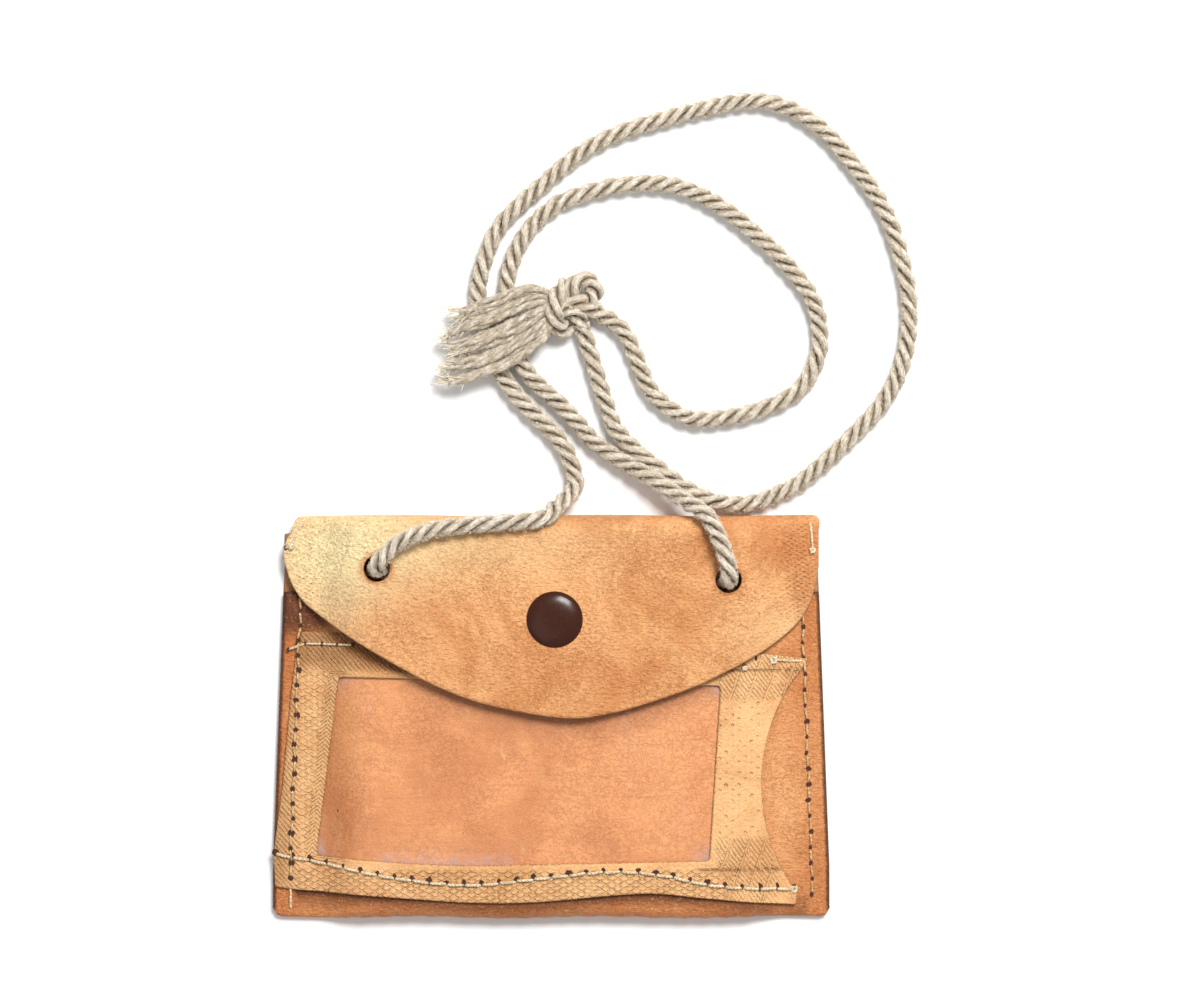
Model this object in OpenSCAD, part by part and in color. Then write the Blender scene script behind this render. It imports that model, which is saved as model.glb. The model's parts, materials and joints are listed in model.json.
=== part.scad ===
/* [Pouch] */
// Width across the bottom of the pouch
body_w_bottom = 148; // [144:1:152]
// Width across the top fold
body_w_top = 142; // [138:1:144]
// Height from the bottom fold to the top fold
body_h = 107; // [105:1:110]
// Thickness of the leather hide
leather_t = 1.2; // [1:0.1:1.3]
// Depth of the passport pocket
pocket_gap = 4.2; // [4.2:0.1:5]
// Height of the front panel's top edge above the pouch's middle
front_top_y = 33; // [32:0.5:33]

/* [Flap] */
// Diameter of the two cord holes
cord_hole_d = 7; // [6.5:0.1:7.5]
// Height of the flap's fold line above the pouch's middle
hinge_y = 44; // [43.6:0.1:44.5]

/* [Window panel] */
// Thickness of the embossed window panel
panel_t = 1.0; // [0.8:0.1:1.2]
// Thickness of the clear film
film_t = 0.25; // [0.2:0.05:0.3]
// Radius of the hollowed card mouth on the right
mouth_r = 49.5; // [48:0.5:51]

/* [Snap] */
// Diameter of the snap cap
cap_d = 15; // [14:0.5:15]
// Diameter of the snap stud and socket
snap_d = 12; // [11:0.5:12]

/* [Cord] */
// Diameter of the twisted neck cord
cord_d = 5; // [4.5:0.1:5]
// Diameter of the sewing thread
thread_d = 0.8; // [0.6:0.1:0.9]

/* [Hidden] */

hide = "#dba468";
hide_dark = "#9a5f30";
embossed = "#e9bd84";
antique_brass = "#3d251b";
oatmeal = "#c9bba4";
off_white = "#e6dcc8";

half_h = body_h / 2;
join_low = -48;
// Cutting shapes are taller and wider than the whole pouch.
tall = 30;
wide = 80;
// Pieces that are one solid overlap by this much.
overlap = 0.01;
// The seams hold the panels a hair apart, where thread and edge coat lie.
seam_gap = 0.2;

// The pouch is pinched flat beyond swell_flat, along its side seams, and has
// the pocket's full depth within swell_full of its middle.
swell_flat = 63;
swell_full = 50;
steps = 12;
corner_n = 5;

function smooth_step(t) = let (u = max(0, min(1, t))) u * u * (3 - 2 * u);
function swell(x) = smooth_step((swell_flat - abs(x)) / (swell_flat - swell_full));
// Stations across the pouch, close together where the swell rises and towards
// rounded corners of the given width.
function stations(half, corner = 1) = let (right = concat(
    [0],
    [for (i = [steps:-1:0]) swell_flat - i * (swell_flat - swell_full) / steps],
    [for (i = [0:corner_n]) half - corner * (1 - sin(90 * i / corner_n))]
)) concat([for (i = [len(right) - 1:-1:1]) -right[i]], right);
// Clear height between the front panel and the flap: the closed snap's height.
snap_flange_t = 0.5;
snap_socket_t = 2.0;
flap_clear = 0.3;
snap_gap = snap_flange_t + 0.1 + snap_socket_t;
function front_low(x) = leather_t + seam_gap + (pocket_gap - seam_gap) * swell(x);
function front_top(x) = front_low(x) + leather_t;
function flap_low(x) = front_top(x) + panel_t + flap_clear
    + (snap_gap - panel_t - flap_clear) * swell(x);
function flap_top(x) = flap_low(x) + leather_t;
front_z = front_top(0);
flap_z = flap_low(0);
flap_top_z = flap_top(0);

// Half the width of the pouch at height y.
function half_w(y) = (body_w_bottom + body_w_top) / 4
    - (body_w_bottom - body_w_top) / 4 * max(-1, min(1, y / 40));
// How far the rounded corners of the folds reach in, along x and along y.
bottom_corner = [6, 4];
top_corner = [2.5, 2.5];

function arc(c, r, a0, a1, n) =
    [for (i = [0:n]) let (a = a0 + (a1 - a0) * i / n) c + r * [cos(a), sin(a)]];
// A smooth curve through hand-chosen points, n steps to each span.
function spline_at(p0, p1, p2, p3, t) = 0.5 * (2 * p1 + (p2 - p0) * t
    + (2 * p0 - 5 * p1 + 4 * p2 - p3) * t * t
    + (3 * p1 - p0 - 3 * p2 + p3) * t * t * t);
function smooth(p, n) = let (e = len(p) - 1) concat(
    [for (i = [0:e - 1], k = [0:n - 1])
        spline_at(p[max(0, i - 1)], p[i], p[i + 1], p[min(e, i + 2)], k / n)],
    [p[e]]);

// The pouch's outline between its two folds, from above.
module outline() {
    linear_extrude(tall) polygon([
        [-half_w(join_low), join_low], [half_w(join_low), join_low], [half_w(-40), -40],
        [half_w(40), 40], [half_w(hinge_y), hinge_y],
        [-half_w(hinge_y), hinge_y], [-half_w(40), 40], [-half_w(-40), -40]
    ]);
}

// A sheet between two heights across the pouch, running from y0 to y1.
function sheet_profile(low, high) = concat(low, [for (i = [len(high) - 1:-1:0]) high[i]]);
module sheet(y0, y1, low, high) {
    translate([0, y1, 0]) rotate([90, 0, 0]) linear_extrude(y1 - y0)
        polygon(sheet_profile(low, high));
}
across = stations(wide);

module back_panel() {
    color(hide) intersection() {
        outline();
        translate([-wide, join_low, 0]) cube([2 * wide, hinge_y - join_low, leather_t]);
    }
}

module front_panel() {
    color(hide) difference() {
        intersection() {
            outline();
            sheet(join_low, front_top_y,
                [for (x = across) [x, front_low(x)]],
                [for (x = across) [x, front_top(x)]]);
        }
        translate([snap_x, snap_y, 0]) cylinder(h = tall, d = post_d, $fn = 32);
        // The post's flange is pressed flush into the panel's underside.
        translate([snap_x, snap_y, 0])
            cylinder(h = front_low(0) + post_flange_t, d = post_flange_d, $fn = 48);
    }
}

// A rolled fold: at each station a half-round turn of leather joins the back
// panel to the layer above it. s is -1 at the bottom and 1 at the top, and join_y
// is the roll's open side.
fold_arc_n = 8;
function corner_cut(x, half, corner) =
    let (u = max(0, min(1, (abs(x) - half + corner.x) / corner.x)))
    corner.y * (1 - sqrt(1 - u * u));
function fold_section(x, top, s, half, corner, join_y) =
    let (r = top / 2, cy = s * (half_h - corner_cut(x, half, corner) - r), ri = r - leather_t)
    concat(
        [[x, join_y, 0]],
        [for (i = [0:fold_arc_n]) let (a = -90 + 180 * i / fold_arc_n)
            [x, cy + s * r * cos(a), r + r * sin(a)]],
        [[x, join_y, top], [x, join_y, top - leather_t]],
        [for (i = [fold_arc_n:-1:0]) let (a = -90 + 180 * i / fold_arc_n)
            [x, cy + s * ri * cos(a), r + ri * sin(a)]],
        [[x, join_y, leather_t]]
    );
// Skins a row of closed sections; flip turns the faces outward.
module loft(sections, flip = false) {
    n = len(sections[0]);
    m = len(sections);
    points = [for (s = sections, p = s) p];
    quads = [for (j = [0:m - 2], i = [0:n - 1])
        let (k = (i + 1) % n) [j * n + i, j * n + k, (j + 1) * n + k, (j + 1) * n + i]];
    // Each end is closed by a strip of quads from one side of the section to the other.
    ends = [for (i = [0:n / 2 - 2]) let (q = [i, i + 1, n - 2 - i, n - 1 - i]) each
        [[q[3], q[2], q[1], q[0]], [for (k = q) (m - 1) * n + k]]];
    faces = concat(quads, ends);
    polyhedron(points, flip ? [for (f = faces) [for (i = [len(f) - 1:-1:0]) f[i]]] : faces);
}

module bottom_fold() {
    half = half_w(-half_h);
    color(hide_dark) loft([for (x = stations(half, bottom_corner.x))
        fold_section(x, front_top(x), -1, half, bottom_corner, join_low)]);
}

module top_fold() {
    half = half_w(half_h);
    color(hide) loft([for (x = stations(half, top_corner.x))
        fold_section(x, flap_top(x), 1, half, top_corner, hinge_y)], flip = true);
}

// Where the snap and the cord holes sit.
snap_x = 1;
snap_y = 26;
post_d = 3.6;
left_hole = [-46, 39.5];
right_hole = [47, 36.5];

// The flap's free edge, from the left end of the fold line to the right end.
flap_edge = smooth([
    [-70, 38], [-67.5, 33], [-54, 22], [-40, 13.5], [-27, 7], [-13.5, 2.7],
    [4, 0], [16, 1.3], [29, 5], [50, 14], [65, 24.5], [69.5, 33], [71, 40]
], 3);
flap_root = 70.8;
module flap() {
    color(hide) difference() {
        intersection() {
            sheet(-5, hinge_y,
                [for (x = across) [x, flap_low(x)]],
                [for (x = across) [x, flap_top(x)]]);
            linear_extrude(tall) polygon(concat([[-flap_root, hinge_y]], flap_edge, [[flap_root, hinge_y]]));
        }
        for (c = [left_hole, right_hole])
            translate([c.x, c.y, 0]) cylinder(h = tall, d = cord_hole_d, $fn = 48);
        translate([snap_x, snap_y, 0]) cylinder(h = tall, d = barrel_d, $fn = 32);
    }
}

// Window panel: the embossed sheet with its rounded window and hollowed mouth.
panel_edge = concat(
    [[-66, 22.5], [-68, 17], [-72, -22], [-74, -36], [-73.5, -45.5]],
    smooth([[-67, -46.2], [-40, -48], [-21, -49.2], [-3, -49], [24, -46.8], [40, -48], [65, -50]], 3),
    [[68.5, 15.5], [55, 17]]
);
window_r = 4;
window_edge = [[-62.5, -37], [-56.5, 10.5], [45, 8.3], [42, -38], [-28, -39.5]];
mouth_x = 56;
mouth_y = -18;
// The window's four corners are rounded; its lower edge bends at the fifth point.
module window_shape() {
    inset = [[1, 1], [1, -1], [-1, -1], [-1, 1], [0, 1]];
    polygon(concat(
        arc(window_edge[0] + window_r * inset[0], window_r, 180, 270, 4),
        [window_edge[4]],
        arc(window_edge[3] + window_r * inset[3], window_r, -90, 0, 4),
        arc(window_edge[2] + window_r * inset[2], window_r, 0, 90, 4),
        arc(window_edge[1] + window_r * inset[1], window_r, 90, 180, 4)
    ));
}
module panel_sheet(rise0, rise1) {
    sheet(-half_h, half_h,
        [for (x = across) [x, front_top(x) + rise0]],
        [for (x = across) [x, front_top(x) + rise1]]);
}
film_x0 = -65.5;
film_x1 = 48;
film_y0 = -42;
film_y1 = 13;
module film_area() {
    translate([film_x0, film_y0]) square([film_x1 - film_x0, film_y1 - film_y0]);
}
module window_panel() {
    color(embossed) difference() {
        intersection() {
            outline();
            panel_sheet(0, panel_t);
            linear_extrude(tall) polygon(panel_edge);
        }
        linear_extrude(tall) window_shape();
        translate([mouth_x + mouth_r, mouth_y, 0]) cylinder(h = tall, r = mouth_r, $fn = 96);
        // The film lies in the panel's underside.
        intersection() {
            panel_sheet(-1, film_t);
            linear_extrude(tall) film_area();
        }
    }
}
module window_film() {
    color("white", 0.3) intersection() {
        panel_sheet(0, film_t);
        linear_extrude(tall) film_area();
    }
}

// Snap. The cap's barrel passes through the flap into the socket; the stud's
// post passes through the front panel and holds the stud on it.
barrel_d = 4.4;
cap_h = 1.7;
cap_bevel = 0.8;
socket_bore_d = 6.4;
socket_roof_t = 0.5;
spring_d = 0.5;
stud_head_d = 4.8;
stud_head_h = 1.3;
post_flange_d = 10;
post_flange_t = 0.4;
socket_z = flap_z - snap_socket_t;

module snap_cap() {
    color(antique_brass) translate([snap_x, snap_y, flap_top_z]) {
        rotate_extrude($fn = 72) polygon(concat(
            [[0, 0], [cap_d / 2 - 0.3, 0], [cap_d / 2, 0.3], [cap_d / 2, cap_h - cap_bevel]],
            [for (i = [1:6]) let (a = 90 * i / 6)
                [cap_d / 2 - 2 * cap_bevel * (1 - cos(a)), cap_h - cap_bevel + cap_bevel * sin(a)]],
            [[0, cap_h]]
        ));
        translate([0, 0, -leather_t - overlap]) difference() {
            cylinder(h = leather_t + 2 * overlap, d = barrel_d, $fn = 32);
            translate([0, 0, -1]) cylinder(h = leather_t + 1, d = barrel_d - 1.2, $fn = 32);
        }
    }
}
module snap_socket() {
    color(antique_brass) translate([snap_x, snap_y, socket_z]) difference() {
        rotate_extrude($fn = 64) polygon([
            [0, snap_socket_t - socket_roof_t], [socket_bore_d / 2, snap_socket_t - socket_roof_t],
            [socket_bore_d / 2, 0], [snap_d / 2 - 0.7, 0], [snap_d / 2, 0.7],
            [snap_d / 2, snap_socket_t], [0, snap_socket_t]
        ]);
        translate([0, 0, -overlap]) cylinder(h = snap_socket_t + 1, d = barrel_d - 1.2, $fn = 32);
    }
}
// The sprung ring inside the socket grips the stud's neck.
module snap_socket_spring() {
    color("silver") translate([snap_x, snap_y, socket_z + 0.45])
        rotate_extrude($fn = 48) translate([socket_bore_d / 2 - spring_d / 2, 0])
            circle(d = spring_d, $fn = 16);
}
module snap_stud() {
    color(antique_brass) translate([snap_x, snap_y, front_z]) rotate_extrude($fn = 64) polygon([
        [post_d / 2 - 0.6, 0], [snap_d / 2, 0], [snap_d / 2, snap_flange_t - 0.2],
        [snap_d / 2 - 0.2, snap_flange_t],
        [stud_head_d / 2 - 0.3, snap_flange_t], [stud_head_d / 2, snap_flange_t + 0.6],
        [stud_head_d / 2 - 0.3, snap_flange_t + stud_head_h], [post_d / 2 - 0.6, snap_flange_t + stud_head_h]
    ]);
}
module snap_post() {
    color("silver") translate([snap_x, snap_y, 0]) {
        translate([0, 0, front_low(0)]) {
            cylinder(h = post_flange_t, d = post_flange_d, $fn = 48);
            cylinder(h = leather_t + snap_flange_t, d = post_d - 1.2, $fn = 32);
        }
    }
}

// Cord routes, in millimetres, each from its hole in the flap to the knot.
floor_z = cord_d / 2 + 0.1;
left_route = [
    [-46, 39.5, 9.8], [-46, 39.5, 11.6], [-45, 41.5, 14.2], [-40.5, 46, 14.2],
    [-32, 49.5, 13.2], [-21.5, 51, 12.6], [-3, 52.5, 11.8], [1.5, 56, 9],
    [4.5, 58.5, 5.8], [6.5, 63, 3.2], [2.5, 73, floor_z],
    [-8.5, 84.5, floor_z], [-14.5, 93.5, floor_z], [-18, 103.5, floor_z],
    [-19.5, 112, floor_z], [-18, 121, floor_z], [-13, 131.5, floor_z],
    [-2.5, 141.5, floor_z], [8.5, 150.5, floor_z], [22, 156.8, floor_z],
    [48.5, 163.5, floor_z], [60.5, 163, floor_z],
    [71.5, 157, floor_z], [80.5, 147, floor_z], [88.5, 135.5, floor_z],
    [93.5, 121.5, floor_z], [95.5, 108, floor_z], [94, 95.5, floor_z],
    [89, 84.5, floor_z], [80, 74.5, floor_z], [68.5, 64, floor_z], [61, 59.5, floor_z],
    [53, 56.7, floor_z], [46, 56.7, floor_z], [39, 59, floor_z], [31, 64, floor_z],
    [18.8, 74.5, floor_z], [15, 82, floor_z], [10, 98, floor_z], [8, 104.5, 3]
];
right_route = [
    [47, 36.5, 9.8], [47, 36.5, 11.6], [47, 39, 14.2], [45, 46, 14], [41.5, 53, 12],
    [38.5, 55.5, 10.2],
    [34, 58.5, 7.6], [29, 62, 6.3], [23, 65.5, 4.6], [12.5, 72, floor_z],
    [7.5, 77.5, floor_z], [2.5, 83, floor_z], [-2, 87, floor_z], [-7, 92.5, floor_z],
    [-10, 101, floor_z], [-11.5, 109.5, floor_z], [-11.5, 117, floor_z],
    [-9.5, 123.5, floor_z], [-6, 129.5, floor_z], [-1, 134.5, floor_z],
    [5, 138, floor_z], [18.5, 141.5, floor_z], [32, 141.5, floor_z],
    [44, 136.5, floor_z], [54.5, 128.5, floor_z], [63.5, 119.5, floor_z],
    [70, 110, floor_z], [71.5, 98, floor_z], [66, 87, floor_z], [53.5, 81, floor_z],
    [40, 79, floor_z], [34, 80.5, floor_z], [29, 84, floor_z], [25.5, 88.5, floor_z],
    [20.5, 100.5, floor_z], [16.5, 105, floor_z], [12, 107.5, 3]
];
crossing_route = [
    [-46, 39.5, 9.8], [-46, 39.5, 8.4], [-43.5, 39, 5.9], [-38, 38.5, 5.2], [0, 38, 5.2],
    [39, 37, 5.2], [44.5, 36.6, 5.9], [47, 36.5, 8.4], [47, 36.5, 9.8]
];
cord_sides = 10;
function unit(v) = v / norm(v);
function tangent(p, i) = unit(p[min(len(p) - 1, i + 1)] - p[max(0, i - 1)]);
function side_of(t) = abs(t.z) > 0.95 ? [0, 1, 0] : unit(cross([0, 0, 1], t));
function ring(c, t, r) = let (u = side_of(t), v = cross(t, u))
    [for (k = [0:cord_sides - 1]) let (a = 360 * k / cord_sides)
        c + r * (cos(a) * u + sin(a) * v)];
module tube(route, r) {
    loft([for (i = [0:len(route) - 1]) ring(route[i], tangent(route, i), r)], flip = true);
}
module cord_left() {
    color(oatmeal) tube(left_route, cord_d / 2);
}
module cord_right() {
    color(oatmeal) tube(right_route, cord_d / 2);
}
module cord_crossing() {
    color(oatmeal) tube(crossing_route, cord_d / 2);
}

// The overhand knot that joins the two ends, and the loosened yarns beyond it.
knot_c = [6, 110.5, 4.8];
knot_lobe_d = 9.4;
module cord_knot() {
    color(oatmeal) hull() for (lobe = [[-2, 1.5, 0], [2.5, 2.5, 0], [0, -3, 0]])
        translate(knot_c + lobe) sphere(d = knot_lobe_d, $fn = 24);
}
tassel_z = cord_d + 0.3;
tassel_t = 3;
module cord_tassel() {
    color(oatmeal) hull() {
        translate([-1, 109, tassel_z]) cylinder(h = tassel_t, d = 10, $fn = 24);
        for (p = [[-26, 113], [-27, 90]])
            translate([p.x, p.y, tassel_z]) cylinder(h = tassel_t - 1, d = 5, $fn = 24);
    }
}

// Stitches. Each is a short round length of thread lying on the leather, from
// one needle hole to the next.
module stitch(a, b) {
    d = b - a;
    translate(a) rotate([0, acos(d.z / norm(d)), atan2(d.y, d.x)])
        cylinder(h = norm(d), d = thread_d, $fn = 16);
}
module stitch_row(points, gap = 0.6) {
    for (i = [0:len(points) - 2]) {
        step = unit(points[i + 1] - points[i]) * gap / 2;
        stitch(points[i] + step, points[i + 1] - step);
    }
}
thread_r = thread_d / 2;
seam_inset = 4.5;
seam_n = 22;
seam_y0 = -46.5;
seam_y1 = 30;
// The left seam also passes through the window panel, and the right seam
// through the tip of its upper corner.
function seam_z(y, side) = 2 * leather_t + seam_gap + thread_r
    + ((side < 0 ? y < 23 : y > 11 && y < 17) ? panel_t : 0);
function seam(side) = [for (i = [0:seam_n]) let (y = seam_y0 + (seam_y1 - seam_y0) * i / seam_n)
    [side * (half_w(y) - seam_inset), y, seam_z(y, side)]];
module left_seam_thread() {
    color(off_white) stitch_row(seam(-1));
}
module right_seam_thread() {
    color(off_white) stitch_row(seam(1));
}

// The window panel's stitched lower edge wanders in a shallow wave.
wave = [[-72, -37.3], [-56, -39.8], [-42, -42.3], [-22, -44.6], [14, -41.2],
    [28, -41.7], [44, -44.8], [64, -45.9]];
wave_x0 = -70;
wave_x1 = 64;
bottom_pitch = 4.6;
top_pitch = 4.4;
function on_panel(x, y) = [x, y, front_top(x) + panel_t + thread_r];
module window_bottom_thread() {
    color(off_white) stitch_row([for (x = [wave_x0:bottom_pitch:wave_x1])
        on_panel(x, lookup(x, wave))]);
}
module window_top_thread() {
    color(off_white) {
        stitch_row([for (x = [-66:top_pitch:-50]) on_panel(x, 19.2)]);
        stitch_row([for (x = [54:top_pitch:66]) on_panel(x, 14.6)]);
    }
}
// Tacks at the ends of the top fold hold the flap's root to the back panel.
function tack(side) = let (x0 = side * (half_w(half_h) - 4.5), x1 = side * (half_w(hinge_y) - 1.5))
    [[x0, half_h - 3, flap_top(x0) + thread_r], [x1, hinge_y + 1, flap_top(x1) + thread_r]];
module left_tack_thread() {
    color(off_white) stitch_row(tack(-1));
}
module right_tack_thread() {
    color(off_white) stitch_row(tack(1));
}

back_panel();
bottom_fold();
front_panel();
top_fold();
flap();
window_panel();
window_film();
snap_cap();
snap_socket();
snap_socket_spring();
snap_stud();
snap_post();
cord_left();
cord_right();
cord_crossing();
cord_knot();
cord_tassel();
left_seam_thread();
right_seam_thread();
window_bottom_thread();
window_top_thread();
left_tack_thread();
right_tack_thread();
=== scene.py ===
import json
import math

import bpy
import numpy as np
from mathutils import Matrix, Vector


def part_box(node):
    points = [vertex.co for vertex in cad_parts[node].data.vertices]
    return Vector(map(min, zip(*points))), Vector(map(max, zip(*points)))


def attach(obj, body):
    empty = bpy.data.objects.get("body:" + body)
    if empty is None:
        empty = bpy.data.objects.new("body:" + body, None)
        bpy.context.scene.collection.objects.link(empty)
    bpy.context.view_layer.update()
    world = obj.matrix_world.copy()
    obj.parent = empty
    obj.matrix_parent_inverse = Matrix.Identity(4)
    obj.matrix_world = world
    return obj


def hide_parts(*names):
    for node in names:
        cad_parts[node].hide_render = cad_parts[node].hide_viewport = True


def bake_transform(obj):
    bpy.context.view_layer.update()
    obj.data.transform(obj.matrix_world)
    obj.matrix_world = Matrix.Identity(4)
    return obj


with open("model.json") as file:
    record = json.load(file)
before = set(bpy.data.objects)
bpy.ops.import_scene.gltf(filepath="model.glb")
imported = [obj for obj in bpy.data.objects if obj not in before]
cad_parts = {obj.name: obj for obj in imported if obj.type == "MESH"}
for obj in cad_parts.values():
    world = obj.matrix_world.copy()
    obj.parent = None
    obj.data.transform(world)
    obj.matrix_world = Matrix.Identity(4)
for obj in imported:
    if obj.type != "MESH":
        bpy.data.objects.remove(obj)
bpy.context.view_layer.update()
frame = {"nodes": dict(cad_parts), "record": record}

MM = 0.001
POUCH = "pouch"
FLAP = "flap"
rng = np.random.default_rng(7)


# ---------------------------------------------------------------- the frame's sizes

def top_of(node):
    """Height of the CAD node's top."""
    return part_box(node)[1].z


def low_of(node):
    """Height of the CAD node's underside."""
    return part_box(node)[0].z


HIDE_T = top_of("back_panel")
FRONT_TOP = top_of("front_panel")
FLAP_TOP = top_of("flap")
PANEL_T = top_of("window_panel") - FRONT_TOP
SEAM_TOP = low_of("window_panel")
FLAP_SIDE_TOP = low_of("flap") + HIDE_T
BODY_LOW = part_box("bottom_fold")[0].y
BODY_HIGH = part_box("top_fold")[1].y
HALF_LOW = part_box("bottom_fold")[1].x
HALF_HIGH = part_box("top_fold")[1].x
FRONT_EDGE_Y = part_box("front_panel")[1].y
HINGE = frame["record"]["behaviour"]["joints"][0]["pos_m"]
CORD_D = 5 * MM
SNAP = (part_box("snap_cap")[0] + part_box("snap_cap")[1]) / 2
LEFT_HOLE = (-46 * MM, 39.5 * MM)
RIGHT_HOLE = (47 * MM, 36.5 * MM)
HOLE_R = 3.5 * MM
SWELL_FLAT = 63 * MM
SWELL_FULL = 50 * MM


def smooth_step(t):
    """0 below 0, 1 above 1, and an even curve between them."""
    t = np.clip(t, 0, 1)
    return t * t * (3 - 2 * t)


def swell(x):
    """0 along the stitched side seams, 1 over the pocket."""
    return smooth_step((SWELL_FLAT - np.abs(x)) / (SWELL_FLAT - SWELL_FULL))


def half_w(y):
    """Half the pouch's width at height y."""
    mid = (HALF_LOW + HALF_HIGH) / 2
    return mid - (HALF_LOW - HALF_HIGH) / 2 * np.clip(y / (40 * MM), -1, 1)


def ripple(x, y):
    """The slow unevenness of soft leather, about 0.2 mm."""
    a = np.sin(x * 95 + 1.3) * np.cos(y * 120 + 0.4)
    b = np.sin(x * 210 - y * 170 + 2.0)
    return (0.13 * a + 0.07 * b) * MM


def front_z(x, y):
    """Height of the front panel's outer face."""
    return SEAM_TOP + (FRONT_TOP - SEAM_TOP) * swell(x) + ripple(x, y) * (0.3 + 0.7 * swell(x))


def flap_z(x, y, edge_y):
    """Height of the flap's outer face, which droops towards its free edge."""
    level = FLAP_SIDE_TOP + (FLAP_TOP - FLAP_SIDE_TOP) * swell(x)
    drop = smooth_step((SNAP.y - 8 * MM - y) / np.maximum(SNAP.y - 8 * MM - edge_y, 4 * MM))
    away = smooth_step((np.hypot(x - SNAP.x, y - SNAP.y) - 9 * MM) / (20 * MM))
    lift = 0.25 * MM * np.sin(x * 150 + 0.8) * drop
    lift = lift + 1.4 * MM * smooth_step((-36 * MM - x) / (14 * MM)) * smooth_step((31 * MM - y) / (10 * MM))
    return level - 0.15 * MM * drop * swell(x) + lift + ripple(x * 1.3, y) * away


# ---------------------------------------------------------------- curves

def smooth(points, per_span):
    """A smooth curve through given points."""
    p = np.array(points, float)
    out = []
    last = len(p) - 1
    for i in range(last):
        a, b, c, d = p[max(0, i - 1)], p[i], p[i + 1], p[min(last, i + 2)]
        for k in range(per_span):
            t = k / per_span
            out.append(0.5 * (2 * b + (c - a) * t + (2 * a - 5 * b + 4 * c - d) * t * t
                              + (3 * b - a - 3 * c + d) * t ** 3))
    out.append(p[-1])
    return np.array(out)


def run_along(points):
    """How far along the line each of its points is."""
    return np.concatenate([[0], np.cumsum(np.linalg.norm(np.diff(points, axis=0), axis=1))])


def even(points, step):
    """The same line with its points a step apart."""
    at = run_along(points)
    n = max(2, int(round(at[-1] / step)) + 1)
    want = np.linspace(0, at[-1], n)
    return np.stack([np.interp(want, at, points[:, k]) for k in range(points.shape[1])], 1)


def line_length(points):
    return float(np.linalg.norm(np.diff(points, axis=0), axis=1).sum())


def carried_frames(path):
    """Tangents and two cross directions that don't spin along the line."""
    t = np.gradient(path, axis=0)
    t /= np.linalg.norm(t, axis=1)[:, None]
    start = np.array([0, 0, 1.0]) if abs(t[0][2]) < 0.9 else np.array([0, 1.0, 0])
    n = np.zeros_like(path)
    n[0] = start - t[0] * (start @ t[0])
    n[0] /= np.linalg.norm(n[0])
    for i in range(1, len(path)):
        v = n[i - 1] - t[i] * (n[i - 1] @ t[i])
        n[i] = v / np.linalg.norm(v)
    return t, n, np.cross(t, n)


# ---------------------------------------------------------------- meshes

class Shape:
    """Vertices and faces gathered from several pieces, with one value a vertex for each named mask."""

    def __init__(self):
        self.verts, self.faces, self.marks, self.mats = [], [], {}, []
        self.count = 0

    def add(self, verts, faces, mat=0, **marks):
        self.verts.append(np.asarray(verts, float))
        self.faces.extend([[i + self.count for i in f] for f in faces])
        self.mats.extend([mat] * len(faces))
        for name in set(marks) | set(self.marks):
            held = self.marks.setdefault(name, [np.zeros(self.count)])
            value = marks.get(name, 0.0)
            held.append(np.broadcast_to(np.asarray(value, float), (len(verts),)))
        self.count += len(verts)

    def build(self, name, *materials):
        mesh = bpy.data.meshes.new(name)
        mesh.from_pydata(np.concatenate(self.verts).tolist(), [], self.faces)
        for mark, parts in self.marks.items():
            layer = mesh.attributes.new(mark, "FLOAT", "POINT")
            layer.data.foreach_set("value", np.concatenate(parts).astype(np.float32))
        for m in materials:
            mesh.materials.append(m)
        mesh.polygons.foreach_set("material_index", self.mats)
        mesh.polygons.foreach_set("use_smooth", [True] * len(mesh.polygons))
        mesh.update()
        obj = bpy.data.objects.new(name, mesh)
        bpy.context.scene.collection.objects.link(obj)
        return obj


def grid_faces(rows, cols, wrap=False, offset=0):
    """Quads between the points of a grid; wrap joins its last column to its first."""
    faces = []
    for r in range(rows - 1):
        for c in range(cols if wrap else cols - 1):
            d = (c + 1) % cols
            faces.append([offset + r * cols + c, offset + r * cols + d,
                          offset + (r + 1) * cols + d, offset + (r + 1) * cols + c])
    return faces


def full_turn(sides):
    """Evenly spaced angles round a circle."""
    return np.linspace(0, 2 * math.pi, sides, endpoint=False)


def rings(n, b, a):
    """Unit rings across a line, with a point at each angle of a."""
    return np.cos(a)[None, :, None] * n[:, None] + np.sin(a)[None, :, None] * b[:, None]


def tube_faces(count, sides):
    """The skin and the two ends of a tube of rings."""
    faces = grid_faces(count, sides, wrap=True)
    faces.append(list(range(sides))[::-1])
    faces.append([(count - 1) * sides + i for i in range(sides)])
    return faces


def tube(shape, path, radius, sides, mat=0, **marks):
    """A round closed tube along a path."""
    _, n, b = carried_frames(path)
    v = path[:, None] + rings(n, b, full_turn(sides)) * radius
    shape.add(v.reshape(-1, 3), tube_faces(len(path), sides), mat, **marks)


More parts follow.
